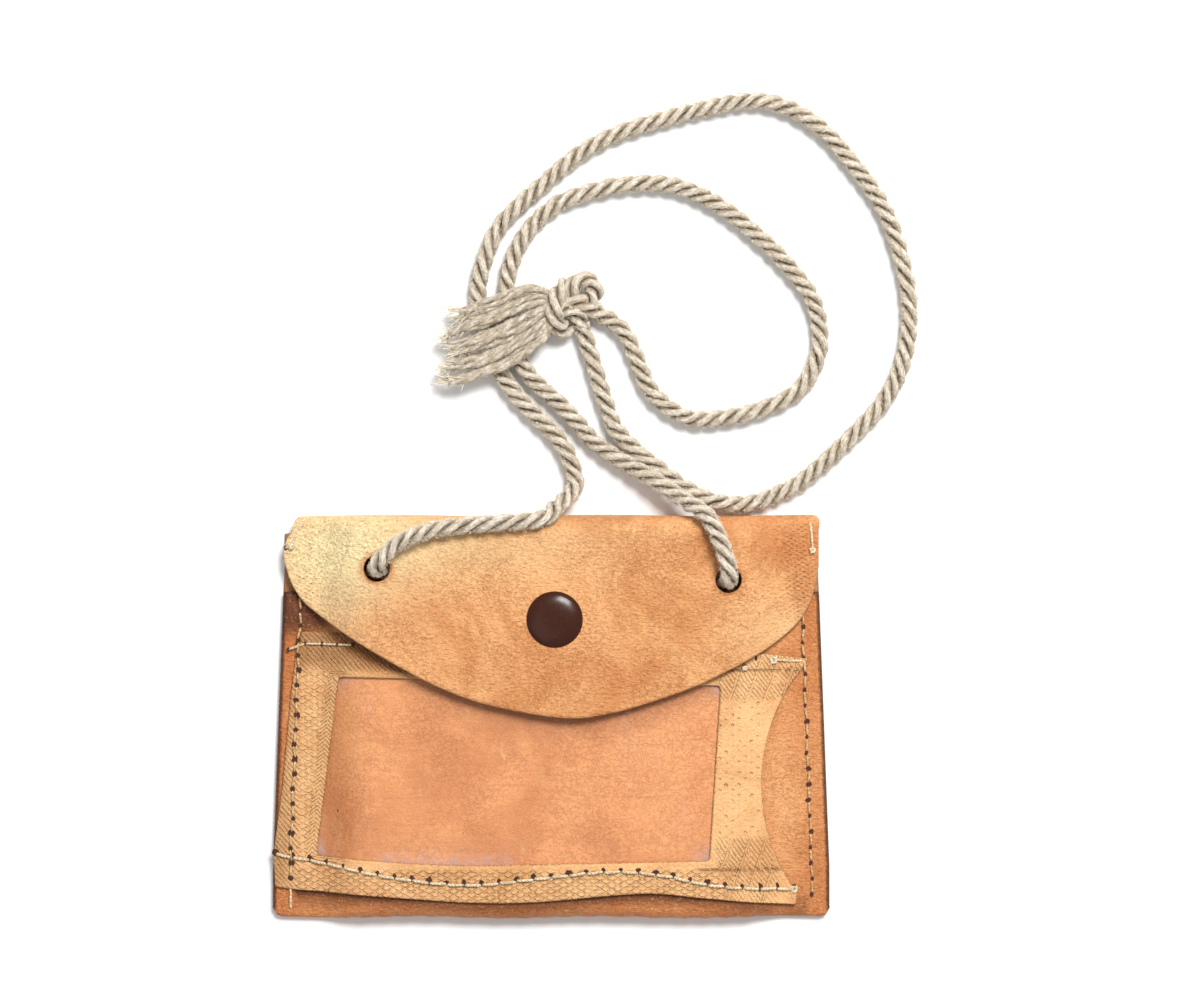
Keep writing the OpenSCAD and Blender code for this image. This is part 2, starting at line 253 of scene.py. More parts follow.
def rope(shape, path, diameter, lay, strands=3, sides=16):
    """A rope laid from rough, slightly uneven strands; gives back the centreline it used."""
    path = even(path, 0.5 * MM)
    _, n, b = carried_frames(path)
    s = run_along(path)
    a = full_turn(sides)
    out_r = diameter * 0.268
    strand_r = diameter * 0.232
    drift = rng.uniform(0, 6, 3)
    twist = s / lay + 0.10 * np.sin(s / (19 * MM) + drift[0]) + 0.05 * np.sin(s / (8 * MM) + drift[1])
    for k in range(strands):
        wander = 1 + 0.06 * np.sin(s / (5.3 * MM) + 2 * k + drift[2]) + 0.05 * np.sin(s / (2.3 * MM) + k)
        turn = -2 * math.pi * twist + 2 * math.pi * k / strands
        out = np.cos(turn)[:, None] * n + np.sin(turn)[:, None] * b
        centre = path + out * (out_r * wander)[:, None]
        clump = np.sin(s / (0.55 * MM) + 2.1 * k)[:, None] * np.cos(2 * a + k)[None, :]
        lobes = 1 + 0.05 * clump + 0.05 * np.sin((s / (0.31 * MM))[:, None] + 3 * a[None, :])
        tufts = 1 + rng.normal(0, 0.075, lobes.shape)
        v = centre[:, None] + rings(n, b, a) * (strand_r * lobes * tufts * (2 - wander)[:, None])[:, :, None]
        depth = np.linalg.norm(v - path[:, None], axis=2) / (diameter / 2)
        along = np.broadcast_to(s[:, None], depth.shape)
        spread = strand_r * np.ones(len(path))[:, None]
        shape.add(v.reshape(-1, 3), tube_faces(len(path), sides), 0, out=depth.reshape(-1),
                  along=along.reshape(-1), side_a=(spread * np.cos(a) + 4 * MM * k).reshape(-1),
                  side_b=(spread * np.sin(a)).reshape(-1))
    return path


def fuzz(shape, path, radius, per_mm, longest, mat=1):
    """Loose fibres that stand off a rope or yarn as thin bent blades."""
    t, n, b = carried_frames(path)
    count = int(line_length(path) / MM * per_mm)
    i = rng.integers(0, len(path), count)
    a = rng.uniform(0, 2 * math.pi, count)
    out = np.cos(a)[:, None] * n[i] + np.sin(a)[:, None] * b[i]
    lean = t[i] * rng.uniform(-1.6, 1.6, count)[:, None]
    side = np.cross(out, t[i])
    curl = side * rng.uniform(-0.9, 0.9, count)[:, None]
    size = longest * rng.uniform(0.35, 1, count)[:, None]
    base = path[i] + out * radius * 0.85
    mid = base + (out * 0.55 + lean * 0.35) * size * 0.6
    tip = base + (out * 0.6 + lean * 0.5 + curl * 0.5) * size
    tip[:, 2] = np.maximum(tip[:, 2], 0.1 * MM)
    mid[:, 2] = np.maximum(mid[:, 2], 0.1 * MM)
    wide = np.cross(tip - base, rng.normal(size=(count, 3)))
    wide = wide / np.linalg.norm(wide, axis=1)[:, None] * 0.05 * MM
    v = np.stack([base - wide, base + wide, mid + wide, mid - wide, tip], 1).reshape(-1, 3)
    faces = []
    for k in range(count):
        o = 5 * k
        faces.append([o, o + 1, o + 2, o + 3])
        faces.append([o + 3, o + 2, o + 4])
    shape.add(v, faces, mat, out=1.0)


def leather(shape, mid, thickness, mat=0, raw=(True, True, True, True), wear=1.0, **marks):
    """A sheet of leather about a grid of points, with rounded raw edges.
    raw says which of the first and last rows and columns are cut edges; rim is wear on them."""
    rows, cols = mid.shape[:2]
    du = np.gradient(mid, axis=1)
    dv = np.gradient(mid, axis=0)
    normal = np.cross(du, dv)
    normal /= np.linalg.norm(normal, axis=2)[:, :, None]
    half = thickness / 2
    step_r = np.linalg.norm(np.diff(mid, axis=0), axis=2)
    along_r = np.concatenate([np.zeros((1, cols)), np.cumsum(step_r, 0)])
    step_c = np.linalg.norm(np.diff(mid, axis=1), axis=2)
    along_c = np.concatenate([np.zeros((rows, 1)), np.cumsum(step_c, 1)], 1)
    far = np.full((rows, cols), 1.0)
    for used, d in zip(raw, (along_r, along_r[-1] - along_r, along_c, along_c[:, -1:] - along_c)):
        if used:
            far = np.minimum(far, d)
    rim = np.exp(-far / (0.9 * MM))
    edge = np.exp(-far / (0.35 * MM))
    off = half * (1 - 0.35 * edge)
    top = mid + normal * off[:, :, None]
    low = mid - normal * off[:, :, None]
    n = rows * cols
    around = ([c for c in range(cols)] + [r * cols + cols - 1 for r in range(1, rows)]
              + [(rows - 1) * cols + c for c in range(cols - 2, -1, -1)]
              + [r * cols for r in range(rows - 2, 0, -1)])
    flat_mid = mid.reshape(-1, 3)
    ring = flat_mid[around]
    before = np.roll(ring, 1, axis=0)
    after = np.roll(ring, -1, axis=0)
    out = np.cross(after - before, normal.reshape(-1, 3)[around])
    out /= np.maximum(np.linalg.norm(out, axis=1)[:, None], 1e-9)
    ring = ring + out * 0.18 * MM
    faces = grid_faces(rows, cols)
    faces += [f[::-1] for f in grid_faces(rows, cols, offset=n)]
    m = len(around)
    for k in range(m):
        j = (k + 1) % m
        a, b = around[k], around[j]
        faces.append([b, a, 2 * n + k, 2 * n + j])
        faces.append([2 * n + j, 2 * n + k, n + a, n + b])
    both = {}
    for name, value in marks.items():
        value = np.broadcast_to(value, (rows, cols)).reshape(-1)
        both[name] = np.concatenate([value, value, value[around]])
    both["rim"] = wear * np.concatenate([rim.reshape(-1), rim.reshape(-1), np.ones(m)])
    both["back"] = np.concatenate([np.zeros(n), np.ones(n), np.full(m, 0.5)])
    shape.add(np.concatenate([top.reshape(-1, 3), low.reshape(-1, 3), ring]), faces, mat, **both)


# ---------------------------------------------------------------- material nodes

class Nodes:
    """Short words for building a shader's nodes."""

    def __init__(self, name):
        self.material = bpy.data.materials.new(name)
        self.material.use_nodes = True
        self.tree = self.material.node_tree
        self.shader = self.tree.nodes["Principled BSDF"]
        self.place = self.new("ShaderNodeTexCoord").outputs["Object"]

    def new(self, kind, **settings):
        node = self.tree.nodes.new(kind)
        for key, value in settings.items():
            setattr(node, key, value)
        return node

    def join(self, value, socket):
        if isinstance(value, bpy.types.NodeSocket):
            self.tree.links.new(value, socket)
        else:
            socket.default_value = value

    def math(self, op, a, b=0.0, c=0.0):
        node = self.new("ShaderNodeMath", operation=op)
        for value, socket in zip((a, b, c), node.inputs):
            self.join(value, socket)
        return node.outputs[0]

    def add(self, a, b):
        return self.math("ADD", a, b)

    def mul(self, a, b):
        return self.math("MULTIPLY", a, b)

    def mark(self, name):
        return self.new("ShaderNodeAttribute", attribute_name=name).outputs["Fac"]

    def stretched(self, scale, turn=0.0):
        node = self.new("ShaderNodeMapping")
        self.join(self.place, node.inputs["Vector"])
        node.inputs["Scale"].default_value = scale
        node.inputs["Rotation"].default_value = (0, 0, turn)
        return node.outputs[0]

    def noise(self, scale, detail=3.0, rough=0.5, place=None, distortion=0.0):
        node = self.new("ShaderNodeTexNoise")
        self.join(place or self.place, node.inputs["Vector"])
        node.inputs["Scale"].default_value = scale
        node.inputs["Detail"].default_value = detail
        node.inputs["Roughness"].default_value = rough
        node.inputs["Distortion"].default_value = distortion
        return node.outputs["Fac"]

    def warped(self, scale, reach):
        """The place pushed about by noise, for lines that wander."""
        push = self.new("ShaderNodeTexNoise")
        self.join(self.place, push.inputs["Vector"])
        push.inputs["Scale"].default_value = scale
        middle = self.new("ShaderNodeVectorMath", operation="SUBTRACT")
        self.join(push.outputs["Color"], middle.inputs[0])
        middle.inputs[1].default_value = (0.5, 0.5, 0.5)
        size = self.new("ShaderNodeVectorMath", operation="SCALE")
        self.join(middle.outputs[0], size.inputs[0])
        size.inputs["Scale"].default_value = reach
        total = self.new("ShaderNodeVectorMath", operation="ADD")
        self.join(self.place, total.inputs[0])
        self.join(size.outputs[0], total.inputs[1])
        return total.outputs[0]

    def from_marks(self, *names):
        """A place made from three marks that the mesh carries."""
        node = self.new("ShaderNodeCombineXYZ")
        for name, socket in zip(names, node.inputs):
            self.join(self.mark(name), socket)
        return node.outputs[0]

    def steer(self, value, low, high, to_low=0.0, to_high=1.0):
        node = self.new("ShaderNodeMapRange", interpolation_type="SMOOTHSTEP")
        self.join(value, node.inputs["Value"])
        for key, v in zip(("From Min", "From Max", "To Min", "To Max"), (low, high, to_low, to_high)):
            node.inputs[key].default_value = v
        return node.outputs["Result"]

    def mix(self, share, a, b):
        node = self.new("ShaderNodeMix", data_type="RGBA")
        self.join(share, node.inputs["Factor"])
        for value, key in ((a, "A"), (b, "B")):
            socket = [s for s in node.inputs if s.name == key and s.type == "RGBA"][0]
            self.join(value, socket)
        return [s for s in node.outputs if s.type == "RGBA"][0]

    def bump(self, height, strength, distance, under=None):
        node = self.new("ShaderNodeBump")
        node.inputs["Strength"].default_value = strength
        node.inputs["Distance"].default_value = distance
        self.join(height, node.inputs["Height"])
        if under is not None:
            self.join(under, node.inputs["Normal"])
        return node.outputs[0]

    def parts(self):
        node = self.new("ShaderNodeSeparateXYZ")
        self.join(self.place, node.inputs[0])
        return node.outputs[0], node.outputs[1]

    def set(self, **values):
        for key, value in values.items():
            self.join(value, self.shader.inputs[key.replace("_", " ")])
        return self.material


def rgb(red, green, blue):
    """A colour given as it looks, 0 to 255, turned into linear light."""
    def linear(c):
        c = c / 255
        return c / 12.92 if c <= 0.04045 else ((c + 0.055) / 1.055) ** 2.4
    return (linear(red), linear(green), linear(blue), 1.0)


def leather_grain(m, crinkle_size):
    """Grain of tanned hide: fine wandering creases and the pores between them."""
    field = m.noise(1 / crinkle_size, 4, 0.6, m.warped(500, 0.8 * MM))
    creases = m.steer(m.math("ABSOLUTE", m.add(field, -0.5)), 0.0, 0.045, 1.0, 0.0)
    patchy = m.steer(m.noise(75, 3, 0.6), 0.36, 0.62, 0.35, 1.0)
    fine = m.noise(2300, 3, 0.65)
    return m.mul(creases, patchy), fine


def hide_material():
    """Waxed tan leather: golden to reddish patches, creased grain, dark raw edges, and painted shadow, shade
    and light brought in by marks on the mesh.
    """
    m = Nodes("hide_leather")
    patches = m.steer(m.noise(42, 5, 0.65, distortion=0.8), 0.36, 0.64)
    pane = m.mark("pane")
    colour = m.mix(patches, rgb(214, 142, 84), rgb(244, 178, 118))
    # a paler golden tone that also paints in the brighter light on the flap's top and upper left
    colour = m.mix(m.mark("gold"), colour, rgb(255, 232, 176))
    colour = m.mix(m.mark("red"), colour, rgb(200, 116, 60))
    # painted shadow: the flap's shadow on the front's upper left and the window panel's shadow on the bottom
    # roll
    colour = m.mix(m.mark("dark"), colour, rgb(104, 56, 26))
    threads = m.noise(1000, 4, 0.7, m.stretched((0.08, 1.0, 1.0)))
    cloud = m.steer(m.noise(48, 4, 0.6, distortion=0.4), 0.34, 0.66)
    pane_tone = m.mix(cloud, rgb(212, 134, 78), rgb(236, 160, 100))
    pane_tone = m.mix(m.mul(m.steer(threads, 0.5, 0.72), 0.28), pane_tone, rgb(176, 104, 56))
    colour = m.mix(pane, colour, pane_tone)
    # painted shade over the window's leather: darker towards its left and in a band below the flap's edge
    colour = m.mix(m.mul(m.mul(m.mark("dim"), pane), 0.85), colour, rgb(158, 92, 52))
    creases, fine = leather_grain(m, 1.5 * MM)
    open_hide = m.math("SUBTRACT", 1.0, m.mul(pane, 0.75))
    colour = m.mix(m.mul(m.mul(creases, 0.16), open_hide), colour, rgb(142, 76, 34))
    hollow = m.steer(m.noise(1450, 3, 0.6, m.stretched((0.55, 1.0, 1.0), 0.15)), 0.34, 0.5, 1.0, 0.0)
    colour = m.mix(m.mul(m.mul(hollow, 0.3), open_hide), colour, rgb(158, 92, 42))
    pores = m.steer(fine, 0.55, 0.76)
    colour = m.mix(m.mul(pores, 0.5), colour, rgb(134, 74, 36))
    bright = m.steer(m.noise(1500, 3, 0.6), 0.56, 0.74)
    colour = m.mix(m.mul(m.mul(bright, 0.3), open_hide), colour, rgb(255, 214, 160))
    scuff = m.steer(m.noise(150, 5, 0.7, m.stretched((1.0, 0.5, 1.0), 0.6)), 0.58, 0.72)
    colour = m.mix(m.mul(scuff, 0.22), colour, rgb(255, 210, 152))
    ragged = m.mul(m.add(m.noise(420, 3, 0.6), -0.5), 0.5)
    worn = m.mul(m.steer(m.add(m.mark("rim"), ragged), 0.28, 0.8), 0.85)
    colour = m.mix(worn, colour, rgb(74, 40, 22))
    suede = m.steer(m.mark("back"), 0.6, 1.0)
    rough_side = m.mix(m.noise(500, 4, 0.7), rgb(160, 108, 66), rgb(200, 150, 102))
    colour = m.mix(suede, colour, rough_side)
    x, y = m.parts()
    across = m.math("SINE", m.mul(m.add(x, m.mul(y, 0.15)), 2 * math.pi / (2.1 * MM)))
    along = m.math("SINE", m.mul(y, 2 * math.pi / (1.25 * MM)))
    stipple = m.mul(m.steer(m.mul(across, along), 0.2, 0.7), m.mark("stipple"))
    colour = m.mix(m.mul(stipple, 0.3), colour, rgb(150, 84, 38))
    wrinkle = m.add(m.noise(240, 4, 0.6, distortion=1.5), m.mul(threads, m.mul(pane, 0.25)))
    pebble = m.mul(m.noise(1450, 3, 0.6, m.stretched((0.55, 1.0, 1.0), 0.15)), open_hide)
    normal = m.bump(m.mul(wrinkle, m.add(open_hide, -0.15)), 0.7, 0.0008)
    normal = m.bump(pebble, 0.9, 0.0007, normal)
    normal = m.bump(m.mul(stipple, -1.0), 0.8, 0.0004, normal)
    normal = m.bump(m.add(m.mul(creases, -0.5), m.mul(fine, 0.6)), 0.7, 0.0003, normal)
    rough = m.steer(m.noise(300, 4), 0.3, 0.7, 0.42, 0.62)
    return m.set(Base_Color=colour, Normal=normal, Roughness=m.add(rough, m.mul(suede, 0.3)),
                 Specular_IOR_Level=0.35)


def embossed_material():
    """Pale embossed leather: a chevron beside the window, hatched outer strips and right
    corners, a diamond net along the bottom and dimples in rows between."""
    m = Nodes("embossed_leather")
    x, y = m.parts()
    wobble = m.mul(m.add(m.noise(150, 2), -0.5), 0.0012)

    def lines(run, pitch, sharp):
        wave = m.math("SINE", m.mul(m.add(run, wobble), 2 * math.pi / pitch))
        return m.steer(wave, sharp, 1.0)

    def slanted(ax, ay, pitch, sharp=0.1):
        return lines(m.add(m.mul(x, ax), m.mul(y, ay)), pitch, sharp)

    net = m.math("MAXIMUM", slanted(0.48, 0.88, 1.55 * MM, 0.35), slanted(-0.48, 0.88, 1.55 * MM, 0.35))
    off_axis = m.math("ABSOLUTE", m.add(m.mark("to_pane"), -1.5 * MM))
    chevron = lines(m.add(y, m.mul(off_axis, 0.9)), 1.1 * MM, 0.0)
    strip = slanted(0.75, 0.66, 1.0 * MM)
    fine_hatch = m.mul(slanted(0.8, 0.6, 0.95 * MM), 0.9)
    wide_hatch = m.mul(slanted(-0.94, 0.34, 4.4 * MM, 0.8), 0.9)
    hatch = m.math("MAXIMUM", fine_hatch, wide_hatch)
    dimples = m.mul(slanted(0.64, 0.77, 2.2 * MM, 0.2), slanted(-0.64, 0.77, 2.2 * MM, 0.2))
    dimples = m.mul(dimples, m.steer(m.noise(420, 3), 0.4, 0.65, 0.1, 0.8))
    shares = [m.mark(name) for name in ("net", "chevron", "strip", "hatch", "dimples")]
    relief = 0.0
    for share, pattern in zip(shares, (net, chevron, strip, hatch, dimples)):
        relief = m.add(relief, m.mul(share, pattern))
    grooves = m.mul(relief, m.steer(m.noise(260, 3), 0.3, 0.6, 0.45, 1.0))
    patches = m.steer(m.noise(60, 4, 0.6, distortion=0.5), 0.35, 0.68)
    colour = m.mix(patches, rgb(222, 162, 106), rgb(243, 190, 132))
    colour = m.mix(m.mul(grooves, 0.15), colour, rgb(156, 100, 48))
    colour = m.mix(m.mark("shade"), colour, rgb(138, 86, 42))
    creases, fine = leather_grain(m, 1.2 * MM)
    colour = m.mix(m.mul(creases, 0.25), colour, rgb(146, 92, 44))
    colour = m.mix(m.mul(m.steer(fine, 0.55, 0.76), 0.45), colour, rgb(146, 96, 48))
    # painted highlight: pale specks that stand in for light catching the relief
    bright = m.steer(m.noise(1700, 3, 0.6), 0.55, 0.72)
    colour = m.mix(m.mul(bright, 0.4), colour, rgb(255, 228, 176))
    line = m.mark("line")
    colour = m.mix(m.mul(line, 0.5), colour, rgb(128, 78, 36))
    rim = m.steer(m.mark("rim"), 0.35, 1.0)
    ragged = m.mix(m.steer(m.noise(1800, 3), 0.4, 0.65), rgb(110, 66, 32), rgb(222, 176, 120))
    colour = m.mix(m.mul(rim, 0.8), colour, ragged)
    suede = m.steer(m.mark("back"), 0.6, 1.0)
    colour = m.mix(suede, colour, rgb(190, 144, 98))
    height = m.add(m.mul(grooves, -1.0), m.mul(line, -1.2))
    pebble = m.noise(1200, 3, 0.6)
    normal = m.bump(height, 1.0, 0.0005)
    normal = m.bump(m.add(m.mul(pebble, 0.9), m.mul(fine, 0.4)), 0.8, 0.0006, normal)
    return m.set(Base_Color=colour, Normal=normal, Roughness=m.steer(m.noise(260, 4), 0.3, 0.7, 0.45, 0.66),
                 Specular_IOR_Level=0.3)


def film_material():
    """Clear flexible film with faint scuffs and a darker violet tint along the window's edges."""
    m = Nodes("clear_film")
    scuffs = m.steer(m.noise(90, 5, 0.7, m.stretched((1.0, 0.35, 1.0), 0.25)), 0.58, 0.9, 0.0, 0.10)
    rim = m.mark("rim")
    # a darker violet tint that thickens towards the window's edges
    edge_tint = m.mul(rim, m.steer(m.noise(130, 4, 0.7), 0.3, 0.7, 0.15, 0.55))
    tone = m.mix(rim, rgb(250, 236, 226), rgb(206, 170, 166))
    return m.set(Base_Color=tone, Alpha=m.add(m.add(scuffs, edge_tint), 0.02), Roughness=0.22,
                 Normal=m.bump(m.noise(70, 3), 0.2, 0.0005), Specular_IOR_Level=0.5)


def snap_material(name, tone, metallic, roughness):
    """Antiqued metal with small scratches and specks of wear."""
    m = Nodes(name)
    speck = m.steer(m.noise(1600, 4, 0.7), 0.6, 0.78)
    colour = m.mix(m.mul(speck, 0.5), tone, rgb(150, 112, 78))
    scratch = m.noise(900, 3, 0.6, m.stretched((1.0, 0.3, 1.0), 0.9))
    rough = m.add(m.mul(m.steer(scratch, 0.45, 0.75), 0.08), roughness)
    return m.set(Base_Color=colour, Metallic=metallic, Roughness=rough, Specular_IOR_Level=0.3,
                 Normal=m.bump(m.add(speck, m.mul(scratch, 0.2)), 0.1, 0.0001))


def cord_material():
    """Oatmeal cotton: fine fibres along the strands, with painted shade in the lay's grooves."""
    m = Nodes("cord_cotton")
    fibre_place = m.new("ShaderNodeMapping")
    m.join(m.from_marks("along", "side_a", "side_b"), fibre_place.inputs["Vector"])
    fibre_place.inputs["Scale"].default_value = (0.35, 1.0, 1.0)
    hairs = m.noise(2600, 4, 0.7, fibre_place.outputs[0])
    coarse = m.noise(1000, 3, 0.6, fibre_place.outputs[0])
    ragged = m.mul(m.add(m.noise(900, 3, 0.6), -0.5), 0.5)
    # painted shade: the cord's tone gives way to a dark tone deep in the grooves between strands
    clear_of_groove_shade = m.steer(m.add(m.mark("out"), ragged), 0.5, 1.0)
    tone = m.mix(m.steer(m.noise(330, 4, 0.6), 0.34, 0.68), rgb(226, 211, 188), rgb(252, 243, 226))
    tone = m.mix(m.steer(hairs, 0.36, 0.6), rgb(188, 170, 146), tone)
    tone = m.mix(m.mul(m.steer(coarse, 0.5, 0.7), 0.55), tone, rgb(255, 250, 236))
    colour = m.mix(clear_of_groove_shade, rgb(150, 132, 108), tone)
    flecks = m.steer(m.noise(1500, 3, 0.7), 0.62, 0.76)
    colour = m.mix(m.mul(flecks, 0.5), colour, rgb(132, 112, 88))
    height = m.add(m.mul(hairs, 0.8), m.mul(coarse, 0.8))
    return m.set(Base_Color=colour, Normal=m.bump(height, 0.8, 0.0007), Roughness=0.92,
                 Specular_IOR_Level=0.1, Sheen_Weight=0.25)


def plain_fibre_material(name, low, high, alpha=1.0):
    """Loose fibres and sewing thread."""
    m = Nodes(name)
    tone = m.mix(m.steer(m.noise(1500, 3, 0.6), 0.35, 0.7), low, high)
    ply = m.noise(2600, 3, 0.6, m.stretched((1.0, 0.5, 1.0), 0.7))
    return m.set(Base_Color=tone, Normal=m.bump(ply, 0.6, 0.0003), Roughness=0.85, Alpha=alpha,
                 Specular_IOR_Level=0.2)


def hole_shade_material():
    """Painted shade for the inside of a needle hole."""
    m = Nodes("needle_hole")
    return m.set(Base_Color=m.mix(m.noise(2000, 2), rgb(44, 22, 12), rgb(92, 52, 28)), Roughness=0.9)


def floor_material():
    m = Nodes("pale_floor")
    return m.set(Base_Color=m.mix(m.noise(30, 2), rgb(252, 252, 252), rgb(255, 255, 255)), Roughness=0.9,
                 Specular_IOR_Level=0.1)


HIDE = hide_material()
EMBOSSED = embossed_material()
FILM = film_material()
CAP_METAL = snap_material("snap_brown", rgb(60, 27, 14), 0.0, 0.22)
STEEL = snap_material("spring_bright", rgb(190, 188, 182), 1.0, 0.25)
COTTON = cord_material()
FIBRE = plain_fibre_material("loose_fibre", rgb(220, 206, 182), rgb(252, 244, 226))
THREAD = plain_fibre_material("sewing_thread", rgb(200, 178, 140), rgb(246, 232, 204))
OLD_THREAD = plain_fibre_material("worn_thread", rgb(176, 136, 92), rgb(232, 204, 158))
HOLE_SHADE = hole_shade_material()


# ---------------------------------------------------------------- camera

VIEW_W = 319 * MM
VIEW_CENTRE = (13 * MM, 57.6 * MM)
VIEW_HEIGHT = 0.95
camera_data = bpy.data.cameras.new("camera")
camera_data.sensor_width = 36
camera_data.lens = 36 * VIEW_HEIGHT / VIEW_W
camera = bpy.data.objects.new("camera", camera_data)
camera.location = (*VIEW_CENTRE, VIEW_HEIGHT + 5 * MM)
bpy.context.scene.collection.objects.link(camera)
bpy.context.scene.camera = camera


# ---------------------------------------------------------------- cords

FLOOR_Z = CORD_D / 2 + 0.1 * MM
LAY = 13 * MM
ROPE_D = 4.7 * MM
FIBRES_PER_MM = 40
LOW = FLOOR_Z / MM
LEFT_ROUTE = [
    (-46, 39.5, 9.8), (-46, 39.5, 11.6), (-45, 41.5, 14.2), (-40.5, 46, 14.2),
    (-32, 49.5, 13.2), (-21.5, 51, 12.6), (-3, 52.5, 11.8), (1.5, 56, 9), (4.5, 58.5, 5.8),
    (6.5, 63, 3.2), (2.5, 73, LOW), (-8.5, 84.5, LOW), (-14.5, 93.5, LOW), (-18, 103.5, LOW),
    (-19.5, 112, LOW), (-18, 121, LOW), (-13, 131.5, LOW), (-2.5, 141.5, LOW),
    (8.5, 150.5, LOW), (22, 156.8, LOW), (48.5, 163.5, LOW),
    (60.5, 163, LOW), (71.5, 157, LOW), (80.5, 147, LOW), (88.5, 135.5, LOW),
    (93.5, 121.5, LOW), (95.5, 108, LOW), (94, 95.5, LOW), (89, 84.5, LOW), (80, 74.5, LOW),
    (68.5, 64, LOW), (61, 59.5, LOW), (53, 56.7, LOW), (46, 56.7, LOW), (39, 59, LOW),
    (31, 64, LOW), (18.8, 74.5, LOW), (15, 82, LOW), (10, 98, LOW), (8, 104.5, 3),
]
RIGHT_ROUTE = [
    (47, 36.5, 9.8), (47, 36.5, 11.6), (47, 39, 14.2), (45, 46, 14), (41.5, 53, 12),
    (38.5, 55.5, 10.2), (34, 58.5, 7.6), (29, 62, 6.3), (23, 65.5, 4.6), (12.5, 72, LOW),
    (7.5, 77.5, LOW), (2.5, 83, LOW), (-2, 87, LOW), (-7, 92.5, LOW), (-10, 101, LOW),
    (-11.5, 109.5, LOW), (-11.5, 117, LOW), (-9.5, 123.5, LOW), (-6, 129.5, LOW),
    (-1, 134.5, LOW), (5, 138, LOW), (18.5, 141.5, LOW), (32, 141.5, LOW), (44, 136.5, LOW),
    (54.5, 128.5, LOW), (63.5, 119.5, LOW), (70, 110, LOW), (71.5, 98, LOW), (66, 87, LOW),
    (53.5, 81, LOW), (40, 79, LOW), (34, 80.5, LOW), (29, 84, LOW), (25.5, 88.5, LOW),
    (20.5, 100.5, LOW), (16.5, 105, LOW), (12, 107.5, 3),
]
CROSSING_ROUTE = [
    (-46, 39.5, 9.8), (-46, 39.5, 8.4), (-43.5, 39, 5.9), (-38, 38.5, 5.2), (0, 38, 5.2),
    (39, 37, 5.2), (44.5, 36.6, 5.9), (47, 36.5, 8.4), (47, 36.5, 9.8),
]
KNOT_PARTS = [
    [(8, 103.8, 2.9), (7, 106.8, 4.2), (4.6, 108.4, 5.0), (1.5, 108.6, 5.2), (-2, 108.2, 5.4)],
    [(12.4, 107.6, 3), (9.8, 109.2, 4.6), (7, 110.4, 5.4), (3.5, 111.2, 4.8), (0, 110.4, 5)],
    [(4.4, 103.2, 2.7), (2.0, 103.4, 5.2), (0.9, 107.2, 7.4), (1.6, 111.6, 7.0), (3.9, 114.6, 4.4),
     (5, 114.4, 2.8)],
    [(4.2, 108.2, 3), (4.9, 112.0, 5.6), (6.9, 115.4, 6.8), (9.9, 115.9, 6.6), (11.6, 113.4, 5.8),
     (10.6, 110.6, 4.6), (8.2, 108.6, 3)],
]


def route(points):
    """A cord's centreline through given points in millimetres."""
    return even(smooth(np.array(points) * MM, 14), 0.62 * MM)


def make_cord(name, points, node):
    """One free run of the neck cord, and the centreline it was laid on."""
    shape = Shape()
    path = rope(shape, route(points), ROPE_D, LAY)
    fuzz(shape, path, ROPE_D / 2, FIBRES_PER_MM, 1.3 * MM)
    obj = shape.build(name, COTTON, FIBRE)
    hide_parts(node)
    return obj, path


def make_knot():
    """The overhand knot: both ends wound over and under each other."""
    shape = Shape()
    for points in KNOT_PARTS:
        path = rope(shape, route(points), 1.08 * ROPE_D, LAY)
        fuzz(shape, path, ROPE_D / 2, FIBRES_PER_MM, 1.1 * MM)
    obj = shape.build("knot", COTTON, FIBRE)
    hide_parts("cord_knot")
    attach(obj, POUCH)
    return obj


TASSEL_TOP = [(0.5, 112.6), (-5, 115.4), (-12, 114.6), (-19, 111.4), (-26.5, 109.6)]
TASSEL_LOW = [(0.5, 104.6), (-1.6, 99.4), (-7.5, 94.2), (-15.5, 90.8), (-28.5, 87)]
YARNS_IN_LAYER = 12
YARN_R = 0.8 * MM
TIP_FIBRES = 9


def make_tassel():
    """Loosened yarns that fan out to the left of the knot and lie on the cords."""
    shape = Shape()
    for k in range(2 * YARNS_IN_LAYER):
        share = (k % YARNS_IN_LAYER + 0.5) / YARNS_IN_LAYER
        share = np.clip(share + rng.uniform(-0.06, 0.06), 0, 1)
        layer = 1.0 if k < YARNS_IN_LAYER else 0.0
        reach = rng.uniform(0.8, 1.03)
        flat = np.array(TASSEL_TOP) * (1 - share) + np.array(TASSEL_LOW) * share
        flat[1:] += rng.uniform(-0.7, 0.7, (len(flat) - 1, 2))
        flat[2:, 0] = flat[1, 0] + (flat[2:, 0] - flat[1, 0]) * reach
        height = np.array([5.4, 6.1, 6.0, 5.9, 4.9]) + layer + rng.uniform(-0.15, 0.15, 5)
        path = even(smooth(np.column_stack([flat, height]) * MM, 14), 0.5 * MM)
        s = np.linspace(0, 1, len(path))
        path[:, 1] += np.sin(s * rng.uniform(9, 20) + k) * 0.42 * MM * s
        path[:, 2] += np.cos(s * 17 + 2 * k) * 0.15 * MM
        yarn(shape, path, YARN_R)
        fuzz(shape, path, YARN_R, 12, 1.2 * MM)
        tip = path[-1]
        way = path[-1] - path[-4]
        way = way / np.linalg.norm(way)
        for _ in range(TIP_FIBRES):
            spread = rng.normal(size=3) * (0.5, 0.5, 0.2) * MM
            fibre = np.array([tip - way * 1.2 * MM + spread * 0.5, tip + spread,
                              tip + way * rng.uniform(1.0, 2.6) * MM + spread * 2.2])
            tube(shape, even(smooth(fibre, 4), 0.6 * MM), 0.13 * MM, 5, 1, out=1.0)
    obj = shape.build("tassel", COTTON, FIBRE)
    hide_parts("cord_tassel")
    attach(obj, POUCH)
    return obj


